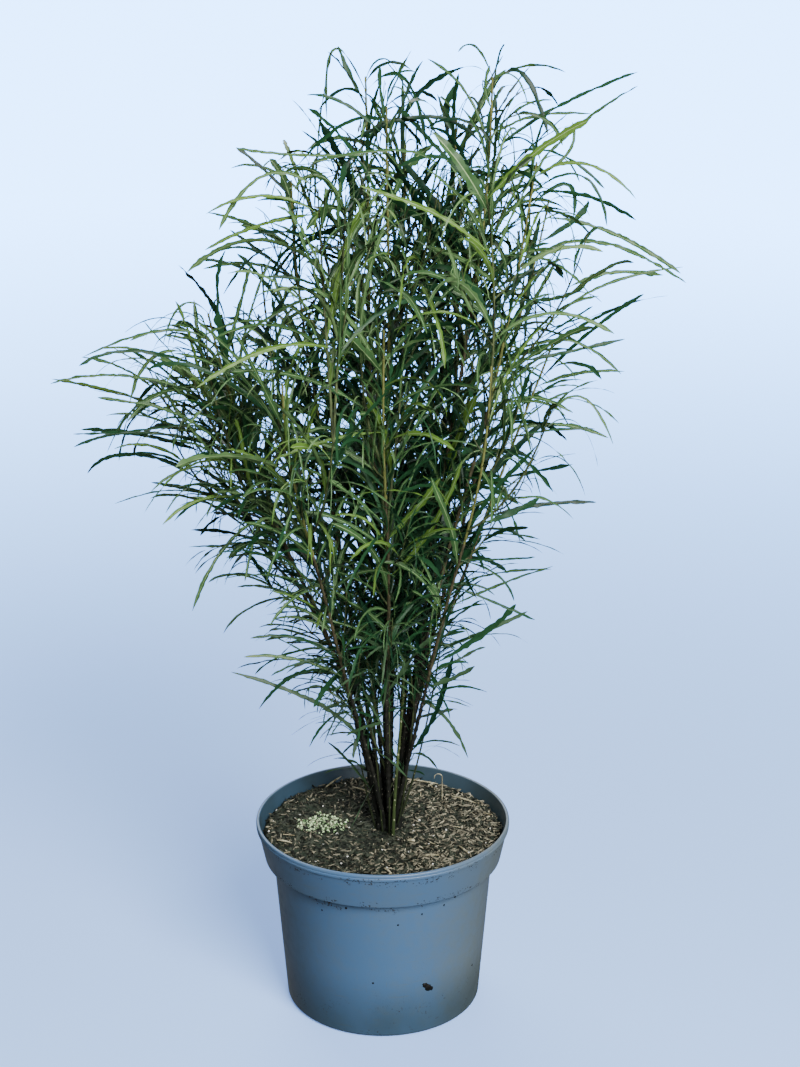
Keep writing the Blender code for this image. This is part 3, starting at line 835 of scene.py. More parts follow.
def turned_mesh(name: str, item: bpy.types.Object) -> bpy.types.Mesh:
    """The closed mesh that an object's modifiers make, with its faces pointing outwards.

    Args:
        name: The mesh's name.
        item: The object, which is then removed.

    Returns:
        The mesh, with its doubles merged.
    """
    mesh = made_mesh(name, item)
    bpy.data.objects.remove(item, do_unlink=True)
    shape = bmesh.new()
    shape.from_mesh(mesh)
    bmesh.ops.remove_doubles(shape, verts=shape.verts, dist=MERGED)
    bmesh.ops.recalc_face_normals(shape, faces=shape.faces)
    shape.to_mesh(mesh)
    shape.free()
    return mesh


def hand_over(piece: bpy.types.Object, slot: Slot, *nodes: str) -> None:
    """Seats a finished piece in the frame.

    Args:
        piece: The finished piece.
        slot: The record's material slot for the piece; it is not used.
        nodes: The names of the nodes that it stands for.
    """
    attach(piece, BODY)
    if nodes:
        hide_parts(*nodes)
    piece.data.calc_loop_triangles()
    LOG.info("%s: %d triangles", piece.name, len(piece.data.loop_triangles))


# The rule of growth


def unit(vector: np.ndarray) -> np.ndarray:
    """The vector, one long."""
    return vector / np.linalg.norm(vector)


def mixed(low: Any, high: Any, share: Any) -> Any:
    """The value at a share of the way from low to high."""
    return low + (high - low) * share


def compass(angle: float, rise: float = 0.0) -> np.ndarray:
    """A level direction, or one that rises over the level."""
    return np.array([math.cos(angle), math.sin(angle), rise])


def leaning(heading: np.ndarray, outward: np.ndarray, angle: float) -> np.ndarray:
    """The direction at an angle from the heading, on its outward side."""
    return unit(heading * math.cos(angle) + outward * math.sin(angle))


def arc(start: np.ndarray, pull: np.ndarray, end: np.ndarray, shares: Any) -> Points:
    """A curve that sets out from its start towards a point, and reaches its end from there.

    Args:
        start: Where it starts.
        pull: The point that draws it aside.
        end: Where it ends.
        shares: How far along it each wanted point lies, as a column.

    Returns:
        The points.
    """
    return start * (1 - shares) ** 2 + pull * 2 * shares * (1 - shares) + end * shares**2


def even_shares(reach: float, step: float) -> np.ndarray:
    """Even shares from nought to one, about a step apart over a reach, as a column."""
    return np.linspace(0, 1, max(round(reach / step), FEWEST_STEPS) + 1)[:, None]


def path_length(points: Points) -> float:
    """The length of a path."""
    return float(np.linalg.norm(np.diff(points, axis=0), axis=1).sum())


def along(points: Points, distance: float) -> tuple[np.ndarray, np.ndarray]:
    """Finds a place on a path.

    Args:
        points: The path.
        distance: How far along it the place lies.

    Returns:
        The place, and the path's direction there.
    """
    for start, end in zip(points[:-1], points[1:]):
        step = float(np.linalg.norm(end - start))
        if distance <= step:
            return mixed(start, end, distance / step), unit(end - start)
        distance -= step
    return points[-1], unit(points[-1] - points[-2])


def distances(places: Points, paths: list[Points]) -> np.ndarray:
    """Measures how far places lie from some paths.

    Args:
        places: The places.
        paths: The paths.

    Returns:
        Each place's distance from the nearest path.
    """
    starts = np.concatenate([path[:-1] for path in paths])
    runs = np.concatenate([np.diff(path, axis=0) for path in paths])
    offset = places[:, None, :] - starts[None, :, :]
    share = np.einsum("psk,sk->ps", offset, runs) / np.einsum("sk,sk->s", runs, runs)
    gap = offset - np.clip(share, 0, 1)[:, :, None] * runs[None, :, :]
    return np.sqrt(np.einsum("psk,psk->ps", gap, gap)).min(axis=1)


@dataclass(frozen=True)
class View:
    """The photograph's view: where its camera stands, and how it looks."""

    place: Place = (0.0154, -1.618, 0.973)
    pitch_down: float = math.radians(18.3)
    focal_pixels: float = 2000.0
    size: tuple[int, int] = (800, 1067)

    def axes(self) -> np.ndarray:
        """The view's right, up and forward directions, as rows."""
        level, steep = math.cos(self.pitch_down), math.sin(self.pitch_down)
        return np.array([[1.0, 0.0, 0.0], [0.0, steep, level], [0.0, level, -steep]])

    def pixels(self, places: Points) -> np.ndarray:
        """Where places show in the photograph, in its pixels."""
        seen = (places - np.array(self.place)) @ self.axes().T
        return seen[:, :2] / seen[:, 2:] * self.focal_pixels * (1, -1) + np.array(self.size) / 2

    def spot(self, pixel: Pair, depth: float) -> np.ndarray:
        """Finds what shows at a pixel.

        Args:
            pixel: The pixel.
            depth: How far behind the pot's axis it is looked for.

        Returns:
            The place.
        """
        right, up, forward = self.axes()
        across, down = np.array(pixel) - np.array(self.size) / 2
        ray = forward * self.focal_pixels + right * across - up * down
        return np.array(self.place) + ray * (depth - self.place[1]) / ray[1]

    def on_level(self, pixel: Pair, height: float) -> np.ndarray:
        """The place at a height over the ground that shows at a pixel."""
        low, high = self.spot(pixel, 0.0), np.array(self.place)
        return mixed(low, high, (height - low[2]) / (high[2] - low[2]))


@dataclass(frozen=True)
class Spot:
    """A round place in the photograph, and how many leaves it has beside the rule's."""

    x: float
    y: float
    reach: float
    fullness: float


# Where the photograph shows sky, and where it shows none
SPOTS = (
    Spot(335, 95, 48, 0.30),
    Spot(350, 122, 26, 0.45),
    Spot(262, 180, 30, 0.45),
    Spot(308, 202, 36, 0.35),
    Spot(205, 262, 26, 0.50),
    Spot(230, 290, 38, 0.50),
    Spot(425, 178, 36, 0.40),
    Spot(462, 330, 26, 0.65),
    Spot(545, 130, 30, 0.60),
    Spot(555, 212, 40, 0.50),
    Spot(620, 225, 45, 0.20),
    Spot(595, 280, 30, 0.60),
    Spot(180, 462, 38, 0.35),
    Spot(535, 430, 34, 0.65),
    Spot(490, 450, 26, 0.70),
    Spot(545, 490, 40, 0.45),
    Spot(345, 540, 34, 0.60),
    Spot(340, 610, 30, 0.60),
    Spot(265, 585, 34, 0.50),
    Spot(270, 640, 34, 0.55),
    Spot(470, 620, 34, 0.50),
    Spot(420, 720, 34, 0.25),
    Spot(352, 182, 32, 2.30),
    Spot(408, 128, 20, 1.70),
    Spot(320, 165, 20, 1.50),
    Spot(298, 258, 26, 1.50),
    Spot(494, 140, 30, 2.30),
    Spot(475, 222, 38, 1.80),
    Spot(425, 292, 34, 1.15),
    Spot(515, 325, 40, 1.45),
    Spot(522, 375, 34, 1.90),
    Spot(215, 400, 40, 1.20),
    Spot(250, 400, 36, 2.10),
    Spot(235, 460, 45, 1.90),
    Spot(280, 480, 26, 1.50),
    Spot(245, 530, 34, 1.60),
    Spot(300, 545, 40, 2.00),
    Spot(298, 610, 28, 1.40),
    Spot(372, 470, 50, 1.70),
    Spot(440, 510, 40, 2.10),
    Spot(390, 575, 55, 2.10),
    Spot(380, 660, 45, 2.20),
)

# Where the photograph shows no leaf's tip, as circles in its pixels
CLEAR_SKY = (((118, 272), 46), ((655, 505), 62))


@dataclass(frozen=True)
class Stem:
    """One stem, by where its tip stands over the pot and how high its leaves begin."""

    name: str
    tip: Pair
    height: float
    leafy_from: float
    foot_radius: float
    side_shoots: int
    early_lean: float = 0.22
    late_lean: float = 0.95
    leafiness: float = 1.0


# Tips from the pot's axis, and heights from the top of the compost
STEMS = (
    Stem("top_left", (-0.012, 0.010), 0.658, 0.190, 0.0023, 2),
    Stem("top_front", (0.005, -0.045), 0.640, 0.130, 0.0021, 2),
    Stem("top_right", (0.088, -0.015), 0.660, 0.130, 0.0023, 2),
    Stem("top_back", (0.062, 0.060), 0.620, 0.150, 0.0022, 2),
    Stem("right", (0.121, -0.060), 0.600, 0.095, 0.0021, 2, 0.12, 0.78, 0.56),
    Stem("right_back", (0.141, 0.070), 0.551, 0.095, 0.0020, 2, 0.08, 0.72, 0.62),
    Stem("left", (-0.138, -0.045), 0.478, 0.085, 0.0023, 3, 0.12, 0.80),
    Stem("left_upper", (-0.073, 0.015), 0.575, 0.150, 0.0021, 2),
    Stem("left_back", (-0.104, 0.095), 0.490, 0.090, 0.0020, 2, 0.22, 0.95, 0.55),
    Stem("front", (0.003, -0.115), 0.480, 0.110, 0.0023, 2),
    Stem("back", (0.020, 0.110), 0.593, 0.120, 0.0021, 2),
    Stem("right_low", (0.143, 0.005), 0.445, 0.080, 0.0019, 2, 0.04, 0.62, 0.22),
    Stem("left_low", (-0.192, 0.022), 0.400, 0.080, 0.0019, 2, 0.00, 0.48, 0.62),
    Stem("back_left", (-0.040, 0.160), 0.500, 0.085, 0.0019, 2),
    Stem("back_right", (0.085, 0.150), 0.465, 0.085, 0.0018, 2, 0.22, 0.95, 0.75),
    Stem("front_right", (0.085, -0.130), 0.455, 0.090, 0.0018, 2, 0.22, 0.95, 0.36),
    Stem("front_left", (-0.075, -0.125), 0.440, 0.090, 0.0019, 2),
)


@dataclass(frozen=True)
class OuterLeaf:
    """A leaf by its stem, where it leaves it and where it points to."""

    stem: str
    root_height: float
    point: Pair
    point_height: float
    arch: float


OUTER_LEAVES = (
    OuterLeaf("top_left", 0.654, (0.024, 0.008), 0.664, 0.55),
    OuterLeaf("top_left", 0.640, (-0.050, 0.004), 0.632, 0.62),
    OuterLeaf("top_right", 0.656, (0.145, -0.018), 0.664, 0.32),
    OuterLeaf("right", 0.597, (0.198, -0.052), 0.657, 0.10),
    OuterLeaf("right", 0.575, (0.199, -0.066), 0.556, 0.22),
    OuterLeaf("right_back", 0.536, (0.254, 0.066), 0.489, 0.16),
    OuterLeaf("right_low", 0.438, (0.216, 0.010), 0.478, 0.12),
    OuterLeaf("right_low", 0.405, (0.201, -0.006), 0.421, 0.14),
    OuterLeaf("right_low", 0.368, (0.192, 0.016), 0.358, 0.20),
    OuterLeaf("right_low", 0.290, (0.183, 0.012), 0.302, 0.10),
    OuterLeaf("right_low", 0.232, (0.145, -0.004), 0.247, 0.08),
    OuterLeaf("right_low", 0.170, (0.126, 0.008), 0.204, -0.05),
    OuterLeaf("left_low", 0.397, (-0.246, -0.014), 0.435, 0.16),
    OuterLeaf("left_low", 0.380, (-0.277, 0.016), 0.409, 0.06),
    OuterLeaf("left_low", 0.345, (-0.257, 0.032), 0.361, 0.10),
    OuterLeaf("left_low", 0.296, (-0.197, 0.018), 0.318, 0.08),
    OuterLeaf("left_low", 0.262, (-0.166, 0.030), 0.271, 0.12),
    OuterLeaf("left_low", 0.152, (-0.128, 0.015), 0.148, 0.18),
    OuterLeaf("left_back", 0.480, (-0.156, 0.088), 0.497, 0.12),
    OuterLeaf("left_upper", 0.520, (-0.141, 0.008), 0.550, 0.12),
    OuterLeaf("left_upper", 0.560, (-0.117, 0.012), 0.602, 0.10),
)


@dataclass(frozen=True)
class Seen:
    """A leaf or a shoot where the photograph shows it, in its pixels, and its width."""

    root: Pair
    middle: Pair
    tip: Pair
    width: float = 0.0


def seen(*rows: tuple[float, ...]) -> tuple[Seen, ...]:
    """Reads rows of pixel coordinates.

    Args:
        rows: The coordinates of a root, a middle and a tip, and a leaf's width in metres.

    Returns:
        The leaves or shoots.
    """
    return tuple(Seen(row[0:2], row[2:4], row[4:6], *row[6:]) for row in rows)


# Threads, arcs and blades at the two tops
TOP_LEAVES = seen(
    (368, 66, 390, 41, 409, 63, 0.0019),
    (368, 88, 334, 50, 327, 120, 0.0026),
    (370, 100, 346, 66, 338, 46, 0.0029),
    (375, 135, 345, 104, 307, 95, 0.0025),
    (383, 120, 381, 92, 380, 66, 0.0026),
    (376, 95, 404, 78, 427, 148, 0.0025),
    (388, 100, 395, 77, 416, 72, 0.0018),
    (402, 150, 414, 98, 464, 67, 0.0042),
    (437, 138, 446, 110, 460, 81, 0.0052),
    (430, 125, 439, 97, 460, 117, 0.0019),
    (463, 118, 473, 98, 485, 135, 0.0019),
    (405, 125, 347, 122, 298, 165, 0.0033),
    (485, 150, 430, 117, 345, 145, 0.0034),
    (385, 160, 300, 155, 236, 148, 0.0025),
    (480, 212, 464, 170, 432, 132, 0.0070),
    (450, 158, 400, 151, 300, 166, 0.0034),
    (490, 68, 475, 46, 458, 52, 0.0018),
    (497, 70, 530, 43, 566, 67, 0.0020),
    (495, 85, 521, 73, 548, 135, 0.0038),
    (483, 110, 486, 88, 490, 65, 0.0028),
    (500, 150, 556, 108, 638, 72, 0.0030),
    (480, 140, 530, 117, 593, 114, 0.0021),
    (500, 135, 520, 108, 552, 100, 0.0018),
    (500, 195, 535, 153, 589, 120, 0.0045),
    (545, 185, 568, 152, 572, 122, 0.0025),
    (545, 178, 585, 164, 636, 199, 0.0026),
    (540, 192, 582, 176, 607, 226, 0.0023),
    (545, 205, 567, 184, 573, 220, 0.0028),
    (550, 245, 577, 218, 588, 200, 0.0042),
    (556, 272, 580, 246, 599, 226, 0.0027),
)
# The long arcs of the right side, from the top down
RIGHT_LEAVES = seen(
    (545, 262, 600, 243, 686, 283, 0.0042),
    (540, 330, 600, 287, 683, 267, 0.0020),
    (535, 303, 562, 297, 586, 284, 0.0028),
    (535, 308, 572, 303, 599, 296, 0.0020),
    (545, 345, 570, 320, 593, 306, 0.0018),
    (535, 380, 590, 332, 644, 294, 0.0034),
    (520, 372, 568, 352, 625, 339, 0.0026),
    (528, 345, 572, 341, 621, 374, 0.0021),
    (538, 420, 567, 393, 598, 380, 0.0025),
    (538, 410, 582, 397, 613, 444, 0.0018),
    (520, 440, 553, 430, 595, 429, 0.0018),
    (500, 480, 540, 470, 573, 464, 0.0034),
    (505, 455, 533, 467, 553, 492, 0.0030),
    (490, 537, 515, 512, 540, 497, 0.0038),
    (480, 549, 530, 517, 596, 504, 0.0021),
    (475, 568, 503, 559, 535, 557, 0.0017),
    (465, 612, 503, 583, 553, 566, 0.0022),
    (474, 560, 497, 575, 514, 601, 0.0017),
    (468, 590, 505, 607, 535, 620, 0.0021),
    (448, 672, 485, 632, 516, 604, 0.0042),
    (440, 694, 456, 677, 475, 666, 0.0038),
    (415, 652, 437, 639, 466, 631, 0.0023),
    (425, 673, 447, 664, 469, 663, 0.0023),
    (412, 722, 435, 713, 454, 709, 0.0026),
    (403, 692, 441, 713, 468, 758, 0.0030),
    (403, 758, 430, 741, 460, 746, 0.0015),
    (410, 756, 436, 712, 453, 655, 0.0042),
)
# The arcs of the left side, from the top down
LEFT_LEAVES = seen(
    (312, 215, 265, 196, 206, 214, 0.0026),
    (312, 168, 265, 175, 219, 230, 0.0026),
    (325, 220, 262, 224, 205, 250, 0.0029),
    (300, 252, 270, 234, 240, 225, 0.0040),
    (300, 285, 266, 256, 230, 230, 0.0025),
    (300, 284, 255, 264, 203, 269, 0.0026),
    (238, 360, 240, 305, 252, 261, 0.0032),
    (210, 315, 182, 305, 163, 345, 0.0017),
    (210, 328, 217, 299, 226, 326, 0.0014),
    (230, 378, 224, 345, 216, 313, 0.0060),
    (202, 374, 135, 351, 79, 366, 0.0025),
    (215, 335, 160, 331, 83, 357, 0.0026),
    (190, 396, 120, 376, 50, 384, 0.0029),
    (190, 343, 150, 360, 130, 402, 0.0026),
    (190, 390, 145, 400, 107, 453, 0.0029),
    (160, 403, 134, 418, 119, 461, 0.0025),
    (200, 428, 135, 431, 73, 434, 0.0025),
    (240, 457, 150, 433, 74, 447, 0.0025),
    (192, 463, 160, 455, 134, 453, 0.0021),
    (300, 577, 245, 550, 189, 547, 0.0019),
    (300, 572, 265, 555, 226, 558, 0.0017),
    (312, 590, 268, 575, 226, 578, 0.0017),
    (320, 602, 286, 579, 256, 571, 0.0021),
    (315, 607, 275, 589, 237, 587, 0.0019),
    (328, 634, 300, 618, 273, 620, 0.0019),
    (322, 648, 292, 631, 269, 631, 0.0019),
    (328, 653, 296, 638, 265, 641, 0.0021),
    (350, 681, 295, 659, 244, 657, 0.0025),
    (350, 750, 318, 704, 231, 672, 0.0033),
    (345, 681, 300, 673, 259, 709, 0.0029),
    (332, 656, 300, 663, 271, 676, 0.0019),
    (340, 712, 316, 686, 305, 709, 0.0017),
    (372, 790, 350, 762, 328, 742, 0.0030),
)
# Blades that catch the light in front of the crown
FRONT_LEAVES = seen(
    (374, 312, 320, 296, 239, 340, 0.0034),
    (352, 352, 272, 348, 196, 388, 0.0034),
    (372, 404, 300, 377, 231, 372, 0.0034),
    (370, 357, 345, 352, 320, 372, 0.0026),
    (388, 376, 352, 340, 312, 304, 0.0064),
    (380, 434, 330, 440, 271, 461, 0.0028),
    (394, 477, 382, 432, 364, 395, 0.0060),
    (438, 478, 460, 434, 476, 395, 0.0060),
    (396, 602, 374, 553, 331, 523, 0.0050),
    (400, 548, 368, 521, 335, 515, 0.0028),
    (402, 580, 432, 527, 462, 460, 0.0038),
    (396, 527, 345, 490, 302, 467, 0.0028),
    (396, 655, 383, 627, 346, 600, 0.0036),
    (403, 545, 420, 505, 440, 478, 0.0052),
)
# Leafy shoots
SEEN_SHOOTS = seen(
    (335, 430, 324, 300, 318, 190),
    (300, 480, 278, 420, 270, 350),
    (332, 310, 318, 230, 301, 165),
    (352, 310, 346, 220, 336, 150),
    (384, 560, 378, 420, 380, 300),
    (420, 560, 430, 440, 424, 330),
    (350, 560, 334, 450, 330, 350),
    (402, 520, 400, 400, 410, 270),
    (372, 480, 362, 380, 366, 260),
    (440, 520, 452, 420, 455, 320),
    (500, 420, 494, 300, 485, 185),
    (460, 420, 458, 330, 455, 235),
    (262, 525, 240, 455, 226, 392),
    (278, 545, 258, 480, 246, 405),
    (384, 770, 348, 670, 322, 585),
    (388, 760, 366, 655, 352, 555),
    (398, 760, 404, 655, 412, 560),
    (352, 440, 340, 320, 346, 195),
    (432, 420, 426, 290, 402, 150),
    (470, 370, 468, 290, 464, 215),
    (250, 490, 210, 420, 184, 352),
    (455, 340, 447, 265, 438, 190),
    (228, 450, 212, 385, 206, 325),
)


class Order(Enum):
    """What a leafy length grows on: a stem itself, a side shoot or a fine twig."""

    STEM = 0
    SIDE = 1
    TWIG = 2


class Dice(Enum):
    """Where the seeds of each kind of random number begin."""

    STEM = 0
    STEM_SPAN = 60
    CRUMB = 77
    SIDE_SHOOT = 100
    FINE_TWIG = 300
    SPUR = 640
    SEEN_SHOOT = 850
    FOOT_SHOOT = 900
    KEPT_LEAF = 5000
    OUTER_LEAF = 7000
    SEEN_LEAF = 8000

    def throw(self, number: int = 0) -> random.Random:
        """The random numbers of one thing of this kind."""
        return random.Random(self.value + number)


@dataclass
class Shoot:
    """A leafy length: its path, how far along it the leaves begin, and its rank."""

    points: Points
    leafy_from: float
    radii: Pair
    seed: int
    order: Order
    leafiness: float = 1.0
    full_from: float = 0.0


class Tone(Enum):
    """The greens of the leaves, from the shaded heart of the crown to its new tips."""

    DEEP = LeafFinish("leaf_deep_green", (0.0035, 0.0230, 0.0100))
    DARK = LeafFinish("leaf_dark_green", (0.010, 0.045, 0.016))
    MIDDLE = LeafFinish("leaf_green", (0.033, 0.082, 0.026))
    BRIGHT = LeafFinish("leaf_bright_green", (0.064, 0.128, 0.044))
    FRESH = LeafFinish("leaf_fresh_green", (0.072, 0.145, 0.022))
    YOUNG = LeafFinish("leaf_young_green", (0.100, 0.168, 0.066))
    DUSKY = LeafFinish("leaf_dusky_green", (0.032, 0.068, 0.031))
    PALE = LeafFinish("leaf_pale_green", (0.054, 0.104, 0.040))


@dataclass
class Leaf:
    """One leaf: its midrib, its faces' directions along it, its half widths and tone."""

    midrib: Points
    across: Points
    upward: Points
    half_widths: np.ndarray
    tone: Tone


@dataclass
class Growth:
    """Grows the limbs and leaves by the rule of the solids, with finer ones between."""

    view: View = View()
    soil_height: float = 0.160
    fit_gap: float = 0.0003
    crown_height: float = 0.684
    # Stems
    foot_centre: Pair = (0.006, 0.003)
    foot_shrink: float = 0.050
    foot_gap: float = 0.0009
    foot_passes: int = 300
    stem_tip_radius: float = 0.0008
    stem_taper: float = 0.8
    stem_step: float = 0.012
    stem_waver: float = 0.0022
    stem_waves: Pair = (9.0, 7.0)
    stem_spacing: float = 0.0054
    stem_passes: int = 40
    # Side shoots, and the shoots that the photograph shows
    shoot_range: Pair = (0.42, 0.80)
    shoot_jitter: float = 0.03
    shoot_splay: Pair = (0.35, 1.25)
    shoot_angle: float = math.radians(45.8)
    shoot_upturn: float = 1.5
    shoot_length: float = 0.15
    shoot_length_spread: Pair = (0.8, 1.2)
    shoot_length_by_height: Pair = (1.15, 0.75)
    shoot_step: float = 0.012
    shoot_clearance: float = 0.016
    shoot_radii: Pair = (0.0013, 0.0006)
    shoot_leafy_from: float = 0.006
    seen_shoot_leafy_from: float = 0.03
    seen_shoot_lean: Pair = (-0.12, 0.12)
    side_shoot_margin: float = 0.008
    # Twigs, shoots from the foot and spurs
    twig_gap: Pair = (0.024, 0.046)
    twig_length: Pair = (0.035, 0.085)
    twig_clearance: float = 0.0022
    twig_turn: Pair = (-0.4, 0.4)
    twig_angle: Pair = (0.55, 0.95)
    twigless_tip: float = 0.045
    short_twigs: float = 0.16
    shortest_twig: float = 0.5
    twig_leafy_from: float = 0.004
    twig_radii: Pair = (0.0008, 0.0004)
    basal_shoots: int = 8
    basal_ring: Pair = (0.008, 0.013)
    basal_length: Pair = (0.09, 0.34)
    basal_lean: Pair = (0.05, 0.34)
    basal_leafy_from: float = 0.050
    basal_radii: Pair = (0.0009, 0.0005)
    basal_leafiness: float = 0.45
    spurs_each: int = 6
    spur_range: Pair = (0.012, 0.20)
    spur_length: Pair = (0.004, 0.011)
    spur_rise: float = 0.5
    spur_forward: float = 0.6
    spur_radii: Pair = (0.0007, 0.0004)
    # Where the leaves stand
    low_leaves: float = 0.048
    low_leaf_share: float = 0.42
    front_pull: float = 100.0
    node_spacing: float = 0.0074
    top_node: float = 0.003
    lowest_leaf: float = 0.0175
    spot_edge: float = 1.6
    reach_margin: float = 0.004
    outward_pull: float = 0.22
    least_away: float = 0.06
    # Their sizes
    station_gap: float = 0.0026
    leaf_long: float = 0.108
    leaf_short: float = 0.046
    leaf_wide: float = 0.0034
    leaf_slim: float = 0.0015
    broad_share: float = 0.10
    broad_until: float = 0.3
    broad_leaf: float = 1.7
    core_heights: Pair = (0.20, 0.58)
    core_radius: float = 0.065
    core_widening: float = 1.40
    leaf_length_spread: Pair = (0.78, 1.22)
    leaf_width_spread: Pair = (0.68, 1.28)
    full_leaf_height: float = 0.62
    wide_leaf_height: float = 0.80
    youngest_leaf_share: float = 0.45
    young_length: float = 0.09
    twig_leaf_share: float = 0.74
    outer_widening: float = 1.1
    seen_widening: float = 1.10
    front_widening: float = 0.95
    stalk_width: float = 0.14
    stalk_share: float = 0.03
    opening_share: float = 0.20
    opening_curve: float = 0.9
    point_share: Pair = (0.06, 0.20)
    point_curve: float = 0.6
    swell: float = 0.10
    swell_waves: Pair = (7.0, 13.0)
    least_halves: Pair = (0.0003, 0.00015)
    twist: Pair = (-0.5, 0.5)
    # How they are held
    leaf_turn_jitter: float = 0.35
    leaf_upward: float = 0.3
    leaf_rise: Pair = (0.20, 0.85)
    leaf_droop: Pair = (0.1, 2.1)
    low_rise: float = 1.7
    low_until: float = 0.40
    droop_by_height: Pair = (0.7, 1.25)
    leaf_sway: float = 0.55
    leaf_roll: float = 1.25
    curl: Pair = (-2.0, 1.1)
    curl_from: float = 0.72
    side_curl: float = 0.4
    threads: float = 0.026
    thread_droop: Pair = (1.8, 4.2)
    thread_width: float = 0.42
    outer_leaf_roll: float = 1.0
    outer_leaf_crown: float = 0.45
    seen_roll: float = 0.7
    seen_lean: Pair = (-0.25, 0.15)
    front_lean: Pair = (-0.55, -0.30)
    # Their greens
    dark_height: float = 0.35
    dusky_height: float = 0.30
    crown_middle: float = 0.01
    crown_widths: Pair = (0.06, 0.20)
    widest_height: float = 0.6
    front_reach: float = 0.16
    back_glow: float = 0.4
    back_from: float = 0.05
    least_light: float = 0.07
    light_above: float = 0.36
    light_below: float = 0.80
    light_outside: float = 0.31
    light_in_front: float = 0.22
    light_of_youth: float = 0.08
    light_spread: Pair = (-0.24, 0.26)
    tone_limits: tuple[float, ...] = (0.25, 0.45, 0.70, 0.95)
    fresh_share: float = 0.38
    youngest: float = 0.93
    young_share: float = 0.25
    shoots: list[Shoot] = field(default_factory=list)
    stems: list[Points] = field(default_factory=list)
    limbs: list[Points] = field(default_factory=list)

    def feet(self) -> np.ndarray:
        """Sets the stems' feet: the plan of the tips, small, pushed apart until none touch.

        Returns:
            The feet, in plan.
        """
        feet = np.array([stem.tip for stem in STEMS]) * self.foot_shrink
        for _ in range(self.foot_passes):
            for i, first in enumerate(STEMS):
                for j, second in enumerate(STEMS[:i]):
                    spacing = first.foot_radius + second.foot_radius + self.foot_gap
                    self.push_apart(feet, feet, i, j, spacing)
        return feet + np.array(self.foot_centre)

    def push_apart(self, first: Points, second: Points, i: int, j: int, spacing: float) -> None:
        """Moves two points apart, in plan, where they are too near.

        Args:
            first: The row of points that holds one.
            second: The row of points that holds the other.
            i: The one's number in its row.
            j: The other's number in its row.
            spacing: How far apart they have to be.
        """
        apart = first[i, :2] - second[j, :2]
        short = spacing - float(np.linalg.norm(apart))
        if short > 0:
            push = unit(apart) * short / 2
            first[i, :2] += push
            second[j, :2] -= push

    def stem_path(self, stem: Stem, foot: np.ndarray, seed: int) -> Points:
        """A stem leans out from its foot, and turns upright again towards its tip.

        Args:
            stem: The stem.
            foot: Where it leaves the compost, in plan.
            seed: The seed for its waver.

        Returns:
            Its path.
        """
        draw = Dice.STEM.throw(seed)
        count = round(stem.height / self.stem_step)
        phase = [draw.uniform(0, math.tau) for _ in self.stem_waves]
        reach = np.array(stem.tip) - foot
        points = []
        for index in range(count + 1):
            rise = index / count
            fall = 1 - rise
            lean = fall * stem.early_lean + rise * stem.late_lean
            ease = 3 * fall * rise * lean + rise**3
            waver = self.stem_waver * math.sin(math.pi * rise)
            sway = np.array([math.sin(w * rise + p) for w, p in zip(self.stem_waves, phase)])
            place = foot + reach * ease + sway * waver
            points.append([*place, self.soil_height + self.fit_gap + stem.height * rise])
        return np.array(points)

    def stem_paths(self) -> list[Points]:
        """Grows the stems, eased apart where two would come too close to each other.

        Returns:
            Their paths.
        """
        feet = self.feet()
        paths = [self.stem_path(stem, feet[i], i) for i, stem in enumerate(STEMS)]
        for _ in range(self.stem_passes):
            for i, path in enumerate(paths):
                for other in paths[:i]:
                    for row in range(1, min(len(path), len(other))):
                        self.push_apart(path, other, row, row, self.stem_spacing)
        for path in paths:
            path[1, :2] = path[0, :2]
        return paths

    def distance_at_height(self, points: Points, height: float) -> float:
        """Measures how far along a rising path it reaches a height.

        Args:
            points: The path.
            height: The height above the compost.

        Returns:
            The distance, or the path's length if it ends lower.
        """
        passed = 0.0
        for start, end in zip(points[:-1], points[1:]):
            step = float(np.linalg.norm(end - start))
            if end[2] >= self.soil_height + height:
                return passed + step * (self.soil_height + height - start[2]) / (end[2] - start[2])
            passed += step
        return passed

    def bent_up(self, start: np.ndarray, direction: np.ndarray, length: float) -> Points:
        """A shoot that leaves its limb in a direction and bends up.

        Args:
            start: Where it leaves its limb.
            direction: The direction in which it does.
            length: Its length.

        Returns:
            Its path.
        """
        steps = max(round(length / self.shoot_step), 2)
        points = [start]
        for _ in range(steps):
            points.append(points[-1] + direction * length / steps)
            direction = unit(direction + UP * self.shoot_upturn / steps)
        return np.array(points)

    def side_shoot(self, path: Points, stem: Stem, number: int, seed: int) -> Points:
        """A side shoot leaves its stem outwards, and bends up to run beside it.

        Args:
            path: The stem's path.
            stem: The stem.
            number: Its number on the stem, from below.
            seed: The seed for its place, turn and length.

        Returns:
            Its path.
        """
        draw = Dice.SIDE_SHOOT.throw(seed)
        share = mixed(*self.shoot_range, (number + 0.5) / stem.side_shoots)
        share += draw.uniform(-self.shoot_jitter, self.shoot_jitter)
        start, heading = along(path, path_length(path) * share)
        side = math.atan2(stem.tip[1], stem.tip[0])
        side += (1 if number % 2 else -1) * draw.uniform(*self.shoot_splay)
        length = self.shoot_length * draw.uniform(*self.shoot_length_spread)
        length *= mixed(*self.shoot_length_by_height, share)
        return self.bent_up(start, leaning(heading, compass(side), self.shoot_angle), length)

    def side_shoots(self) -> list[list[Points]]:
        """Grows the side shoots that keep to their own space.

        Returns:
            For each stem, its path and then its side shoots'.
        """
        grown = [[path] for path in self.stems]
        for index, stem in enumerate(STEMS):
            for number in range(stem.side_shoots):
                points = self.side_shoot(self.stems[index], stem, number, 10 * index + number)
                others = [p for i, mass in enumerate(grown) if i != index for p in mass]
                away = distances(points, others)
                nearer = (away - distances(points, grown[index])).min()
                if away.min() > self.shoot_clearance and nearer > self.side_shoot_margin:
                    grown[index].append(points)
        return grown

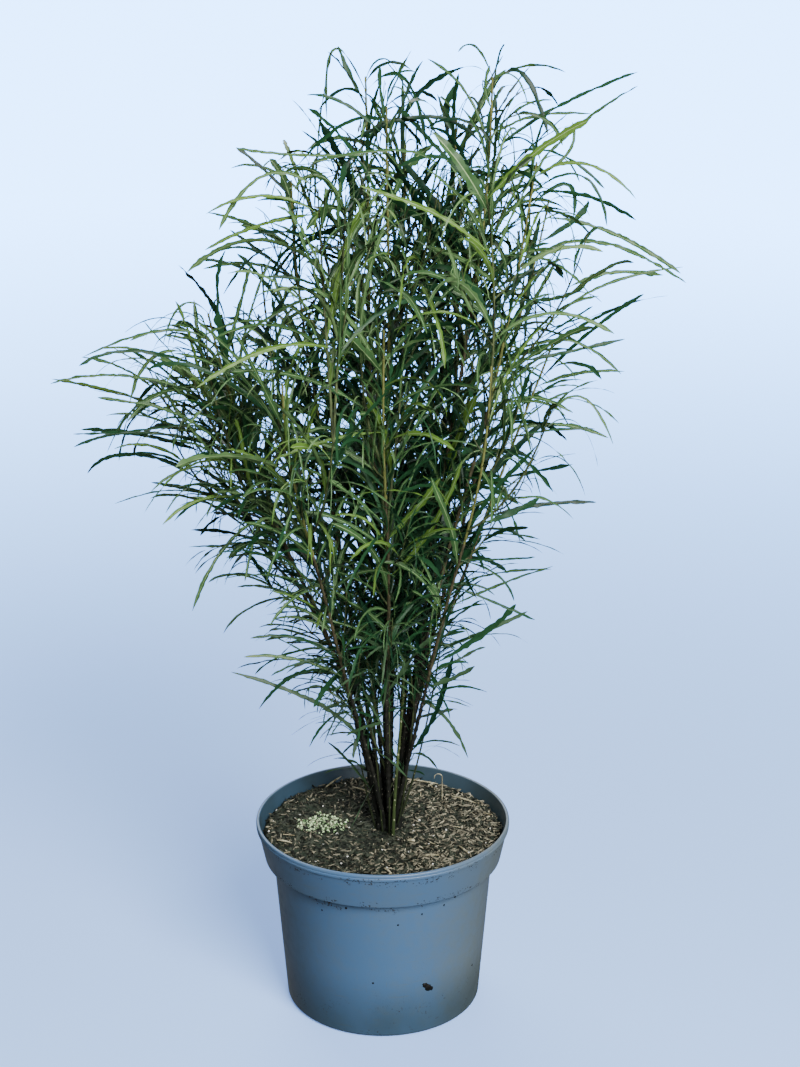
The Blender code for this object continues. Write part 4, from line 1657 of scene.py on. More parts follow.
    def fine_twigs(self, host: Shoot, others: list[Points]) -> Iterator[Shoot]:
        """The fine twigs of one leafy length, clear of every other limb.

        Args:
            host: The leafy length that they grow on.
            others: The paths of the other limbs.

        Yields:
            Each twig that has room.
        """
        seed = Dice.FINE_TWIG.value + host.seed
        draw = Dice.FINE_TWIG.throw(host.seed)
        whole = path_length(host.points)
        place, number = max(host.leafy_from, host.full_from) + draw.uniform(*self.twig_gap), 0
        while place < whole - self.twigless_tip:
            start, heading = along(host.points, place)
            aim = compass(number * GOLDEN_ANGLE + seed + draw.uniform(*self.twig_turn))
            outward = unit(aim - heading * float(aim @ heading))
            direction = leaning(heading, outward, draw.uniform(*self.twig_angle))
            left = min((whole - place) / self.short_twigs, 1.0)
            length = draw.uniform(*self.twig_length) * mixed(self.shortest_twig, 1.0, left)
            points = self.bent_up(start, direction, length)
            if distances(points[1:], others).min() > self.twig_clearance:
                own = seed * TWIG_SEEDS + number
                yield Shoot(points, self.twig_leafy_from, self.twig_radii, own, Order.TWIG)
            place += draw.uniform(*self.twig_gap) / host.leafiness
            number += 1

    def from_the_foot(self, number: int) -> Shoot:
        """Grows a thin young shoot beside the stems.

        Args:
            number: Its number, which turns it and seeds it.

        Returns:
            The shoot.
        """
        draw = Dice.FOOT_SHOOT.throw(number)
        outward = compass(number * GOLDEN_ANGLE - math.pi / 2)
        start = outward * draw.uniform(*self.basal_ring)
        start += np.array([*self.foot_centre, self.soil_height + self.fit_gap])
        direction = unit(UP + outward * draw.uniform(*self.basal_lean))
        points = self.bent_up(start, direction, draw.uniform(*self.basal_length))
        ranks = Dice.FOOT_SHOOT.value + number, Order.TWIG, self.basal_leafiness
        return Shoot(points, self.basal_leafy_from, self.basal_radii, *ranks)

    def spurs(self) -> Iterator[Shoot]:
        """The short stubs of old leaf stalks on the bare feet of the stems.

        Yields:
            Each stub.
        """
        draw = Dice.SPUR.throw()
        for path in self.stems:
            for _ in range(self.spurs_each):
                start, heading = along(path, draw.uniform(*self.spur_range))
                aim = np.array([draw.uniform(-1, 1), draw.uniform(-1, 1), self.spur_rise])
                direction = unit(aim + heading * self.spur_forward)
                points = self.bent_up(start, direction, draw.uniform(*self.spur_length))
                yield Shoot(points, math.inf, self.spur_radii, Dice.SPUR.value, Order.TWIG)

    def nearest_limb(self, pixel: Pair) -> np.ndarray:
        """Finds the limb that shows nearest to a pixel, the front ones first.

        Args:
            pixel: The pixel.

        Returns:
            The point of the limb.
        """
        places = np.concatenate(self.limbs)
        away = np.linalg.norm(self.view.pixels(places) - np.array(pixel), axis=1)
        return places[np.argmin(away + self.front_pull * places[:, 1])]

    def seen_path(self, shown: Seen, root: np.ndarray, lean: float, step: float) -> Points:
        """A curve from its root through the middle to the tip that the photograph shows.

        Args:
            shown: What the photograph shows.
            root: Where it leaves its limb.
            lean: How far it leans back, as a share of its length; a minus leans to the front.
            step: The distance between its points.

        Returns:
            Its points.
        """
        reach = float(np.linalg.norm(self.view.spot(shown.tip, root[1]) - root))
        middle = self.view.spot(shown.middle, root[1] + lean * reach / 2)
        tip = self.view.spot(shown.tip, root[1] + lean * reach)
        return arc(root, middle * 2 - (root + tip) / 2, tip, even_shares(reach, step))

    def hosts(self) -> list[Shoot]:
        """Grows the stems, the side shoots and the shoots that the photograph shows.

        Returns:
            Each of them as a leafy length that can carry twigs.
        """
        self.stems = self.stem_paths()
        grown = self.side_shoots()
        self.limbs = [path for mass in grown for path in mass]
        hosts = []
        for index, (stem, (path, *sides)) in enumerate(zip(STEMS, grown)):
            full = self.distance_at_height(path, stem.leafy_from)
            start = self.distance_at_height(path, stem.leafy_from - self.low_leaves)
            radii = stem.foot_radius, self.stem_tip_radius
            hosts.append(Shoot(path, start, radii, index + 1, Order.STEM, stem.leafiness, full))
            for number, points in enumerate(sides):
                ranks = 20 + 10 * index + number, Order.SIDE, stem.leafiness
                hosts.append(Shoot(points, self.shoot_leafy_from, self.shoot_radii, *ranks))
        for number, shown in enumerate(SEEN_SHOOTS):
            lean = Dice.SEEN_SHOOT.throw(number).uniform(*self.seen_shoot_lean)
            points = self.seen_path(shown, self.nearest_limb(shown.root), lean, self.shoot_step)
            ranks = Dice.SEEN_SHOOT.value + number, Order.SIDE
            hosts.append(Shoot(points, self.seen_shoot_leafy_from, self.shoot_radii, *ranks))
        return hosts

    def grow(self) -> None:
        """Grows the stems and all the shoots, twigs and spurs."""
        hosts = self.hosts()
        self.limbs = [host.points for host in hosts]
        for host in hosts:
            others = [path for path in self.limbs if path is not host.points]
            self.shoots += [host, *self.fine_twigs(host, others)]
        self.shoots += [self.from_the_foot(number) for number in range(self.basal_shoots)]
        self.shoots += self.spurs()

    def blade(
        self, midrib: Points, flat: np.ndarray, roll: float, width: float, draw: random.Random, tone: Tone
    ) -> Leaf:
        """Clothes a midrib.

        Args:
            midrib: The points of the midrib.
            flat: A level direction across the leaf.
            roll: How far the blade is turned about its midrib.
            width: Its greatest width.
            draw: The leaf's own random numbers.
            tone: Its green.

        Returns:
            The leaf, narrow at its stalk, even along its length and pointed at its tip.
        """
        heading = np.gradient(midrib, axis=0)
        heading /= np.linalg.norm(heading, axis=1)[:, None]
        across = flat - heading * (heading @ flat)[:, None]
        across /= np.linalg.norm(across, axis=1)[:, None]
        upward = np.cross(heading, across)
        if upward[len(midrib) // 3, 2] < 0:
            across, upward = -across, -upward
        share = np.linspace(0, 1, len(midrib))
        turn = roll + draw.uniform(*self.twist) * share
        turned = across * np.cos(turn)[:, None] + upward * np.sin(turn)[:, None]
        upward = upward * np.cos(turn)[:, None] - across * np.sin(turn)[:, None]
        opening = np.clip((share - self.stalk_share) / self.opening_share, 0, 1) ** self.opening_curve
        point = np.clip((1 - share) / draw.uniform(*self.point_share), 0, 1) ** self.point_curve
        waves = np.sin(share * draw.uniform(*self.swell_waves) + draw.uniform(0, math.tau))
        half = width / 2 * mixed(self.stalk_width, 1.0, opening) * point * (1 + self.swell * waves)
        half = np.maximum(half, mixed(*self.least_halves, share))
        return Leaf(midrib, turned, upward, half, tone)

    def relative_height(self, place: np.ndarray) -> float:
        """How high a place is in the crown, from nought at the compost to one."""
        return (place[2] - self.soil_height) / self.crown_height

    def tone_at(self, root: np.ndarray, tip: np.ndarray, youth: float, draw: random.Random) -> Tone:
        """The green of a leaf, lighter the more light it gets.

        Args:
            root: Where the leaf leaves its shoot.
            tip: Where it ends.
            youth: How near it is to its shoot's tip, up to one.
            draw: The leaf's own random numbers.

        Returns:
            The tone.
        """
        middle = (root + tip) / 2
        height = self.relative_height(middle)
        width = mixed(*self.crown_widths, min(height / self.widest_height, 1.0))
        outer = math.hypot(middle[0] - self.crown_middle, middle[1]) / width
        front = max(-middle[1], middle[1] * self.back_glow - self.back_from) / self.front_reach
        slope = self.light_above if height > self.dark_height else self.light_below
        light = self.least_light + abs(height - self.dark_height) * slope
        light += self.light_outside * outer + self.light_in_front * front + self.light_of_youth * youth
        light += draw.uniform(*self.light_spread)
        if youth > self.youngest and draw.random() < self.young_share:
            return Tone.YOUNG
        low = height < self.dusky_height
        upper = (Tone.DUSKY, Tone.PALE) if low else (Tone.MIDDLE, Tone.BRIGHT)
        scale = zip(self.tone_limits, (Tone.DEEP, Tone.DARK, *upper))
        tone = next((tone for limit, tone in scale if light < limit), Tone.YOUNG)
        return Tone.FRESH if tone is Tone.BRIGHT and draw.random() < self.fresh_share else tone

    def arched(
        self, root: np.ndarray, direction: np.ndarray, length: float, pulls: list[np.ndarray]
    ) -> Points:
        """A midrib that sets out from its root, arches over and curls at its tip.

        Args:
            root: Where it leaves its shoot.
            direction: The direction in which it does.
            length: Its length.
            pulls: What bends it all along, and then what bends it near its tip as well.

        Returns:
            Its points.
        """
        midrib, steps = [root], max(round(length / self.station_gap), FEWEST_STEPS)
        for step in range(steps):
            midrib.append(midrib[-1] + direction * length / steps)
            pull = sum(pulls) if step > self.curl_from * steps else pulls[0]
            direction = unit(direction + pull / steps)
        return np.array(midrib)

    def leaf_on(self, shoot: Shoot, node: int, distance: float) -> Leaf:
        """The leaf at one node of a shoot: it rises, arches over and droops to its tip.

        Args:
            shoot: The shoot.
            node: The node's number, from the shoot's tip down.
            distance: How far along the shoot the node is.

        Returns:
            The leaf.
        """
        draw = random.Random(NODE_SEEDS * shoot.seed + node)
        root, heading = along(shoot.points, distance)
        left = path_length(shoot.points) - distance
        height = min(max(self.relative_height(root), 0.0), 1.0)
        young = min(self.youngest_leaf_share + left / self.young_length, 1.0)
        length = mixed(self.leaf_short, self.leaf_long, min(height / self.full_leaf_height, 1.0))
        length *= draw.uniform(*self.leaf_length_spread)
        length *= young * (self.twig_leaf_share if shoot.order is Order.TWIG else 1.0)
        width = mixed(self.leaf_slim, self.leaf_wide, min(height / self.wide_leaf_height, 1.0))
        width *= draw.uniform(*self.leaf_width_spread)
        azimuth = node * GOLDEN_ANGLE + shoot.seed
        azimuth += draw.uniform(-self.leaf_turn_jitter, self.leaf_turn_jitter)
        away = np.array([root[0] - self.foot_centre[0], root[1] - self.foot_centre[1], 0.0])
        aim = compass(azimuth, self.leaf_upward)
        aim += away / max(float(np.linalg.norm(away)), self.least_away) * self.outward_pull
        flat = unit(np.cross(heading, aim))
        rise = draw.uniform(*self.leaf_rise) * mixed(self.low_rise, 1.0, min(height / self.low_until, 1.0))
        droop = draw.uniform(*self.leaf_droop) * mixed(*self.droop_by_height, height)
        sway = draw.uniform(-self.leaf_sway, self.leaf_sway)
        roll = draw.uniform(-self.leaf_roll, self.leaf_roll)
        curl = draw.uniform(*self.curl)
        if left < self.threads:
            droop = draw.uniform(*self.thread_droop)
            width *= self.thread_width
        elif draw.random() < self.broad_share * min(height / self.broad_until, 1.0):
            width *= self.broad_leaf
        low, high = self.core_heights
        if low < height < high and root[1] > 0 and float(np.linalg.norm(away)) < self.core_radius:
            width *= self.core_widening
        direction = leaning(heading, np.cross(flat, heading), rise)
        pulls = [-UP * droop + flat * sway, UP * curl, flat * curl * self.side_curl]
        midrib = self.arched(root, direction, length, pulls)
        tone = self.tone_at(root, midrib[-1], 1 - min(left / self.young_length, 1.0), draw)
        return self.blade(midrib, flat, roll, width, draw, tone)

    def outer_leaf(self, outer: OuterLeaf, path: Points, number: int) -> Leaf:
        """An outline leaf: it leaves its stem at a given height and arches to its point.

        Args:
            outer: What is given of it.
            path: Its stem's path.
            number: Its number, which seeds its waves.

        Returns:
            The leaf.
        """
        draw = Dice.OUTER_LEAF.throw(number)
        root = along(path, self.distance_at_height(path, outer.root_height))[0]
        point = np.array([*outer.point, self.soil_height + outer.point_height])
        reach = float(np.linalg.norm(point - root))
        top = mixed(root, point, self.outer_leaf_crown) + UP * outer.arch * reach
        midrib = arc(root, top, point, even_shares(reach, self.station_gap))
        flat = unit(np.cross(point - root, UP))
        width = mixed(self.leaf_slim, self.leaf_wide, min(path_length(midrib) / self.leaf_long, 1.0))
        width *= self.outer_widening
        tone = self.tone_at(root, point, 0.0, draw)
        return self.blade(midrib, flat, self.outer_leaf_roll * draw.choice((-1, 1)), width, draw, tone)

    def seen_leaf(self, shown: Seen, number: int, front: bool) -> Leaf:
        """A leaf that the photograph shows, on the limb that it leaves.

        Args:
            shown: What the photograph shows.
            number: Its number, which seeds its own waves.
            front: Whether it leans to the front, where it catches the light.

        Returns:
            The leaf.
        """
        draw = Dice.SEEN_LEAF.throw(number)
        root = self.nearest_limb(shown.root)
        lean = draw.uniform(*(self.front_lean if front else self.seen_lean))
        midrib = self.seen_path(shown, root, lean, self.station_gap)
        flat = unit(np.cross(midrib[-1] - root, self.view.axes()[2]))
        roll = draw.uniform(-self.seen_roll, self.seen_roll)
        tone = self.tone_at(root, midrib[-1], 0.0, draw)
        if front:
            tone = draw.choice((Tone.MIDDLE, Tone.FRESH, Tone.FRESH))
        width = shown.width * (self.front_widening if front else self.seen_widening)
        return self.blade(midrib, flat, roll, width, draw, tone)

    def inside(self, leaf: Leaf) -> bool:
        """Tells whether a leaf keeps to its room.

        Args:
            leaf: The leaf.

        Returns:
            Whether it is within the solids' reach, over the pot, and off the clear sky.
        """
        low, high = leaf.midrib.min(axis=0), leaf.midrib.max(axis=0)
        if (low < CAD_LOW - self.reach_margin).any() or (high > CAD_HIGH + self.reach_margin).any():
            return False
        tip = self.view.pixels(leaf.midrib[[-1]])[0]
        if any(math.dist(tip, centre) < radius for centre, radius in CLEAR_SKY):
            return False
        return low[2] > self.soil_height + self.lowest_leaf

    def fullness(self, leaf: Leaf) -> float:
        """How many leaves the photograph shows where a leaf would be, beside the rule's one.

        Args:
            leaf: The leaf.

        Returns:
            The number, which is one where the photograph shows as many as the rule.
        """
        pixel = self.view.pixels(leaf.midrib[[len(leaf.midrib) // 2]])[0]
        share = 1.0
        for spot in SPOTS:
            away = math.dist(pixel, (spot.x, spot.y)) / spot.reach
            share *= mixed(1.0, spot.fullness, min(max(self.spot_edge - away, 0.0), 1.0))
        return share

    def rule_leaves(self, shoot: Shoot) -> Iterator[Leaf]:
        """The leaves that a shoot has by the rule, more or fewer where the photograph shows it.

        Args:
            shoot: The shoot.

        Yields:
            Each leaf, whether or not it has room.
        """
        keep = Dice.KEPT_LEAF.throw(shoot.seed)
        top = path_length(shoot.points) - self.top_node
        leafy = max(top - shoot.leafy_from, 0.0)
        for node in range(int(leafy / self.node_spacing)):
            distance = top - node * self.node_spacing
            share = shoot.leafiness if distance > shoot.full_from else self.low_leaf_share
            if keep.random() > share:
                continue
            leaf = self.leaf_on(shoot, node, distance)
            count = int(self.fullness(leaf) + keep.random())
            if count:
                yield leaf
            for extra in range(1, count):
                yield self.leaf_on(shoot, node + EXTRA_SEEDS * extra, distance)

    def leaves(self) -> Iterator[Leaf]:
        """Grows every leaf.

        Yields:
            The outline's leaves, those that the photograph shows, and those of the rule.
        """
        by_name = {stem.name: path for stem, path in zip(STEMS, self.stems)}
        for number, outer in enumerate(OUTER_LEAVES):
            yield self.outer_leaf(outer, by_name[outer.stem], number)
        for number, shown in enumerate((*TOP_LEAVES, *RIGHT_LEAVES, *LEFT_LEAVES, *FRONT_LEAVES)):
            leaf = self.seen_leaf(shown, number, shown in FRONT_LEAVES)
            if self.inside(leaf):
                yield leaf
            else:
                LOG.info("no room for the seen leaf with its tip at %s", shown.tip)
        for shoot in self.shoots:
            yield from filter(self.inside, self.rule_leaves(shoot))


# Sub-assemblies


def resampled(points: Points, step: float) -> Points:
    """Spaces the points of a path evenly.

    Args:
        points: The path.
        step: About how far apart the points are wanted.

    Returns:
        The path with its new points.
    """
    whole = path_length(points)
    passed = np.concatenate([[0.0], np.cumsum(np.linalg.norm(np.diff(points, axis=0), axis=1))])
    places = np.linspace(0, whole, max(round(whole / step), 2) + 1)
    return np.stack([np.interp(places, passed, points[:, axis]) for axis in range(3)], axis=1)


def places_of(mesh: bpy.types.Mesh) -> Points:
    """Reads where a mesh's points are.

    Args:
        mesh: The mesh.

    Returns:
        Their places.
    """
    places = np.empty(len(mesh.vertices) * 3)
    mesh.vertices.foreach_get("co", places)
    return places.reshape(-1, 3)


@dataclass
class Crown:
    """The leaves and the fine twigs."""

    growth: Growth
    fold: float = 0.30
    waver: float = 1.0
    ripple: float = 1.1
    waves: float = 190.0
    rib_share: float = 0.10
    seed: float = 1.0
    rows: int = 3
    ribbed_rows: int = 4
    ribbed: tuple[Tone, ...] = (Tone.MIDDLE, Tone.BRIGHT, Tone.FRESH, Tone.YOUNG, Tone.PALE)
    rib_finish: LeafFinish = LeafFinish("leaf_midrib", (0.18, 0.27, 0.12))
    twig_finish: BarkFinish = BarkFinish(
        "green_shoot_bark", (0.014, 0.021, 0.009), (0.074, 0.096, 0.038), (0.18, 0.20, 0.11), 0.14, 0.5
    )
    spotted: tuple[Pair, ...] = ((393, 836), (394, 812), (396, 780), (399, 745), (403, 700), (405, 655))
    spotted_sunk: float = 0.001
    spotted_radii: Pair = (0.0016, 0.0010)
    spotted_finish: BarkFinish = BarkFinish(
        "spotted_green_bark",
        (0.022, 0.036, 0.012),
        (0.060, 0.088, 0.030),
        (0.32, 0.34, 0.21),
        0.24,
        0.5,
        foot_from=0.145,
        foot_to=0.24,
    )

    def blades(
        self, recipe: BladeRecipe, name: str, leaves: list[Leaf], finish: LeafFinish, ribs: bool
    ) -> None:
        """Makes one piece of leaf blades, or of midribs.

        Args:
            recipe: The tree that makes them.
            name: The piece's name.
            leaves: The leaves that it holds.
            finish: Their finish.
            ribs: Whether the midribs are made, and not the blades beside them.
        """
        carried = {
            "across": [leaf.across for leaf in leaves],
            "upward": [leaf.upward for leaf in leaves],
            "half_width": [leaf.half_widths for leaf in leaves],
        }
        paths = path_object(name + "_paths", [leaf.midrib for leaf in leaves], carried)
        values = {
            "Fold": self.fold,
            "Waver": self.waver,
            "Ripple": self.ripple,
            "Waves": self.waves,
            "Rib Share": self.rib_share,
            "Ribs": float(ribs),
            "Seed": self.seed,
            "Rows": self.ribbed_rows if ribs or leaves[0].tone in self.ribbed else self.rows,
            "Finish": finish.make(),
        }
        masses = ["foliage_" + stem.name for stem in STEMS]
        hand_over(recipe.run(name, paths, values), Slot.FOLIAGE, *masses)

    def spotted_shoot(self, limbs: LimbRecipe) -> None:
        """Makes the green shoot with pale pores in front of the stems' feet.

        Args:
            limbs: The tree that makes round limbs.
        """
        view = self.growth.view
        root = view.on_level(self.spotted[0], self.growth.soil_height - self.spotted_sunk)
        above = [view.spot(pixel, root[1]) for pixel in self.spotted[1:]]
        path = resampled(np.array([root, *above]), BARK_STEP)
        look = LimbLook(12, 0.2, 500.0, 6.0, self.spotted_finish)
        radii = np.linspace(*self.spotted_radii, len(path))
        hand_over(limbs.lay("spotted_shoot", [path], [radii], look), Slot.BARK)

    def build(self, limbs: LimbRecipe) -> None:
        """Makes the leaves, their midribs and the twigs that carry them.

        Args:
            limbs: The tree that makes round limbs.
        """
        leaves = list(self.growth.leaves())
        LOG.info("%d leaves on %d shoots", len(leaves), len(self.growth.shoots))
        recipe = BladeRecipe()
        for tone in Tone:
            chosen = [leaf for leaf in leaves if leaf.tone is tone]
            self.blades(recipe, "leaves_" + tone.name.lower(), chosen, tone.value, False)
        with_ribs = [leaf for leaf in leaves if leaf.tone in self.ribbed]
        self.blades(recipe, "leaf_midribs", with_ribs, self.rib_finish, True)
        twigs = [shoot for shoot in self.growth.shoots if shoot.order is not Order.STEM]
        radii = [mixed(*twig.radii, np.linspace(0, 1, len(twig.points))) for twig in twigs]
        look = LimbLook(6, 0.15, 300.0, 2.0, self.twig_finish)
        hand_over(limbs.lay("twigs", [twig.points for twig in twigs], radii, look), Slot.BARK)
        self.spotted_shoot(limbs)


@dataclass
class BarkedStems:
    """The stems, from the compost to their tips, with leaf scars and the bark's relief."""

    growth: Growth
    relief: float = 0.45
    grain: float = 420.0
    seed: float = 4.0
    scar_swell: float = 0.30
    scar_length: float = 0.0022
    flare: float = 1.15
    flare_height: float = 0.010
    brown_to: float = 0.36
    olive_to: float = 0.68
    jitter: float = 0.07
    brown: BarkFinish = BarkFinish(
        "brown_bark", (0.004, 0.0050, 0.0038), (0.024, 0.023, 0.017), (0.11, 0.11, 0.085), 0.20, 0.75
    )
    olive: BarkFinish = BarkFinish(
        "olive_bark", (0.026, 0.024, 0.013), (0.072, 0.064, 0.036), (0.17, 0.15, 0.09), 0.12, 0.65
    )
    green: BarkFinish = BarkFinish(
        "green_tip_bark", (0.080, 0.090, 0.026), (0.15, 0.16, 0.05), (0.24, 0.25, 0.12), 0.11, 0.5
    )

    def radii(self, stem: Stem, points: Points) -> np.ndarray:
        """Gives a stem its taper, its root flare and its leaf scars.

        Args:
            stem: The stem.
            points: Its evenly spaced path.

        Returns:
            Its radius at each point.
        """
        whole = path_length(points)
        distance = np.linspace(0, whole, len(points))
        share = (distance / whole) ** self.growth.stem_taper
        taper = mixed(stem.foot_radius, self.growth.stem_tip_radius, share)
        flare = 1 + (self.flare - 1) * np.clip(1 - distance / self.flare_height, 0, 1) ** 2
        nodes = (whole - self.growth.top_node - distance) / self.growth.node_spacing
        off = np.abs(nodes - np.round(nodes)) * self.growth.node_spacing
        scars = 1 + self.scar_swell * np.clip(1 - off / self.scar_length, 0, 1)
        return taper * flare * scars

    def build(self, limbs: LimbRecipe) -> None:
        """Makes the stems in three lengths: brown at the foot, olive, and green at the tip.

        Args:
            limbs: The tree that makes round limbs.
        """
        spans = (
            ("stems_brown", 0.0, self.brown_to, self.brown, 12),
            ("stems_olive", self.brown_to, self.olive_to, self.olive, 10),
            ("stems_green", self.olive_to, 1.0, self.green, 8),
        )
        nodes = ["stem_" + stem.name for stem in STEMS]
        fine = [resampled(path, BARK_STEP) for path in self.growth.stems]
        thick = [self.radii(stem, path) for stem, path in zip(STEMS, fine)]
        for name, start, end, finish, sides in spans:
            paths, radii = [], []
            for index, (path, radius) in enumerate(zip(fine, thick)):
                shift = Dice.STEM_SPAN.throw(index).uniform(-self.jitter, self.jitter)
                low = round(len(path) * max(start + shift * (start > 0), 0))
                high = round(len(path) * min(end + shift * (end < 1), 1)) + (end < 1)
                paths.append(path[low:high])
                radii.append(radius[low:high])
            look = LimbLook(sides, self.relief, self.grain, self.seed, finish)
            hand_over(limbs.lay(name, paths, radii, look), Slot.BARK, *nodes)


@dataclass
class NurseryPot:
    """The pot: a tapering body, a stepped collar, a beaded rim and drain holes."""

    height: float = 0.172
    rim_radius: float = 0.113
    collar_top_radius: float = 0.1115
    collar_foot_radius: float = 0.1055
    collar_height: float = 0.0346
    body_top_radius: float = 0.098
    base_radius: float = 0.0872
    wall: float = 0.0018
    floor: float = 0.003
    bead_height: float = 0.006
    bead_tuck: float = 0.0003
    lip: float = 0.0002
    step_drop: float = 0.0006
    chamfer: float = 0.002
    edge_round: float = 0.0012
    edge_share: float = 0.45
    groove: float = 0.0005
    groove_depth: float = 0.0007
    sharp_from: float = math.radians(40)
    steps: int = 144
    drain_holes: int = 8
    drain_radius: float = 0.005
    drain_ring: float = 0.068
    drain_sides: int = 28
    # Where the photograph shows crumbs on it, in its pixels, and their sizes
    crumbs: tuple[tuple[Pair, float], ...] = (
        ((428, 987), 0.0036),
        ((425, 985), 0.0026),
        ((431, 988), 0.0024),
        ((373, 983), 0.0010),
        ((472, 965), 0.0011),
        ((402, 879), 0.0010),
        ((381, 885), 0.0011),
        ((426, 880), 0.0020),
        ((398, 925), 0.0010),
        ((422, 914), 0.0009),
        ((346, 908), 0.0012),
        ((322, 910), 0.0009),
        ((455, 897), 0.0011),
        ((444, 905), 0.0010),
    )
    crumb_lumps: Pair = (0.75, 1.15)
    crumb_flattening: float = 0.7
    crumb_passes: int = 6
    crumb_finish: GrainFinish = GrainFinish(
        "wet_crumb", (0.002, 0.0025, 0.0025), (0.006, 0.006, 0.006), 0.002, 0.6
    )

    @property
    def step(self) -> float:
        """The height of the step between the body and the collar."""
        return self.height - self.collar_height

    def collar_inside(self, height: float) -> float:
        """Finds how wide the collar is inside.

        Args:
            height: The height over the ground.

        Returns:
            The inner radius of its wall there.
        """
        foot = self.step + 2 * self.wall
        share = (height - foot) / (self.height - foot)
        return mixed(self.collar_foot_radius, self.collar_top_radius, share) - self.wall

    def body_radius(self, height: float) -> float:
        """The outer radius of the body at a height."""
        return mixed(self.base_radius, self.body_top_radius, height / self.step)

    def wall_radius(self, height: float) -> float:
        """Finds how wide the pot is.

        Args:
            height: The height over the ground.

        Returns:
            The outer radius of the wall there.
        """
        share = (height - self.step) / self.collar_height
        if share < 0:
            return self.body_radius(height)
        return mixed(self.collar_foot_radius, self.collar_top_radius, share)

    def bend(self, before: Pair, corner: Pair, after: Pair) -> list[Pair]:
        """Rounds a corner of the section.

        Args:
            before: The corner before it.
            corner: The corner.
            after: The corner after it.

        Returns:
            The rounding, as four points.
        """
        reach = min(math.dist(before, corner), math.dist(corner, after)) * self.edge_share
        radius, middle = min(reach, self.edge_round), np.array(corner)
        start, end = (middle + unit(np.array(other) - middle) * radius for other in (before, after))
        shares = np.array([0.0, 0.33, 0.67, 1.0])[:, None]
        return arc(start, middle, end, shares).tolist()

    def section(self) -> list[Pair]:
        """Draws the wall's section, from the middle of the floor up inside and down outside.

        Returns:
            The radius and height of each of its points.
        """
        bead = self.height - self.bead_height
        mid_bead = self.height - self.bead_height * 0.5
        shelf = self.step + 2 * self.wall
        corners = [
            (0.0, self.floor),
            (self.body_radius(self.floor) - self.wall, self.floor),
            (self.body_top_radius - self.wall, self.step + self.wall),
            (self.collar_inside(shelf), shelf),
            (self.collar_inside(self.height) + self.lip, self.height),
            (self.rim_radius - self.lip, self.height),
            (self.rim_radius, mid_bead + self.groove),
            (self.rim_radius - self.groove_depth, mid_bead),
            (self.rim_radius, mid_bead - self.groove),
            (self.rim_radius - self.bead_tuck, bead),
            (self.collar_top_radius, bead - self.lip),
            (self.collar_foot_radius, self.step),
            (self.body_top_radius, self.step - self.step_drop),
            (self.body_radius(self.chamfer), self.chamfer),
            (self.base_radius - self.chamfer, 0.0),
            (0.0, 0.0),
        ]
        bends = [self.bend(*three) for three in zip(corners[:-2], corners[1:-1], corners[2:])]
        return [corners[0], *(point for bend in bends for point in bend), corners[-1]]

    def stuck_crumbs(self, view: View) -> None:
        """Makes the crumbs of compost that stick to the outside, where they show.

        Args:
            view: The photograph's view.
        """
        shape = bmesh.new()
        draw = Dice.CRUMB.throw()
        for pixel, size in self.crumbs:
            depth = -self.base_radius
            for _ in range(self.crumb_passes):
                place = view.spot(pixel, depth)
                depth = -math.sqrt(max(self.wall_radius(place[2]) ** 2 - place[0] ** 2, 0.0))
            outward = unit(np.array([place[0], place[1], 0.0]))
            made = bmesh.ops.create_icosphere(shape, subdivisions=2, radius=size)
            for vert in made["verts"]:
                lump = np.array(vert.co) * draw.uniform(*self.crumb_lumps)
                lump -= outward * float(lump @ outward) * self.crumb_flattening
                vert.co = (place + lump).tolist()
        mesh = free_mesh("stuck_crumbs", shape)
        mesh.materials.append(self.crumb_finish.make())
        mesh.shade_smooth()
        hand_over(new_object("stuck_crumbs", mesh), Slot.COMPOST)

    def drained(self, shell: bpy.types.Object) -> bpy.types.Mesh:
        """Cuts the drain holes.

        Args:
            shell: The turned shell, which is used up.

        Returns:
            Its mesh with the holes.
        """
        drains = bpy.data.collections.new("drain_cutters")
        for index in range(self.drain_holes):
            place = compass((index + 0.5) * math.tau / self.drain_holes) * self.drain_ring
            sizes = {"vertices": self.drain_sides, "radius": self.drain_radius, "depth": 4 * self.floor}
            bpy.ops.mesh.primitive_cylinder_add(location=place.tolist(), **sizes)
            drains.objects.link(bpy.context.active_object)
        cut = shell.modifiers.new("drain_holes", "BOOLEAN")
        cut.operation = "DIFFERENCE"
        cut.operand_type = "COLLECTION"
        cut.collection = drains
        mesh = turned_mesh("pot_shell", shell)
        for cutter in list(drains.objects):
            bpy.data.objects.remove(cutter, do_unlink=True)
        bpy.data.collections.remove(drains)
        return mesh

    def build(self, view: View) -> None:
        """Makes the pot and the crumbs that stick to it.

        Args:
            view: The photograph's view.
        """
        # The dust tone is partly painted shade on the pot's right side.
        plastic, dust_and_side_shade = (0.057, 0.128, 0.254), (0.098, 0.127, 0.140)
        # The second of these colours darkens the foot and the inside as painted shade, with a dirt film
        # inside.
        dirt, grime_and_painted_shade = (0.016, 0.012, 0.008), (0.018, 0.036, 0.044)
        finish = PlasticFinish("dusty_blue_grey_plastic", plastic, dust_and_side_shade, dirt, grime_and_painted_shade, self)
        mesh = self.drained(screwed("pot_shell", self.section(), self.steps))
        mesh.materials.clear()
        mesh.materials.append(finish.make())
        mesh.shade_smooth()
        mesh.set_sharp_from_angle(angle=self.sharp_from)
        hand_over(new_object("pot_shell", mesh), Slot.PLASTIC, "pot")
        self.stuck_crumbs(view)


@dataclass(frozen=True)
class Strewn:
    """Loose pieces on the compost: of what, how many to the square metre, how big and where."""

    name: str
    piece: bpy.types.Object
    density: float
    sizes: Pair
    tilt: float
    lift: float
    seed: int
    cover: Callable[[Points], np.ndarray]
    finish: GrainFinish


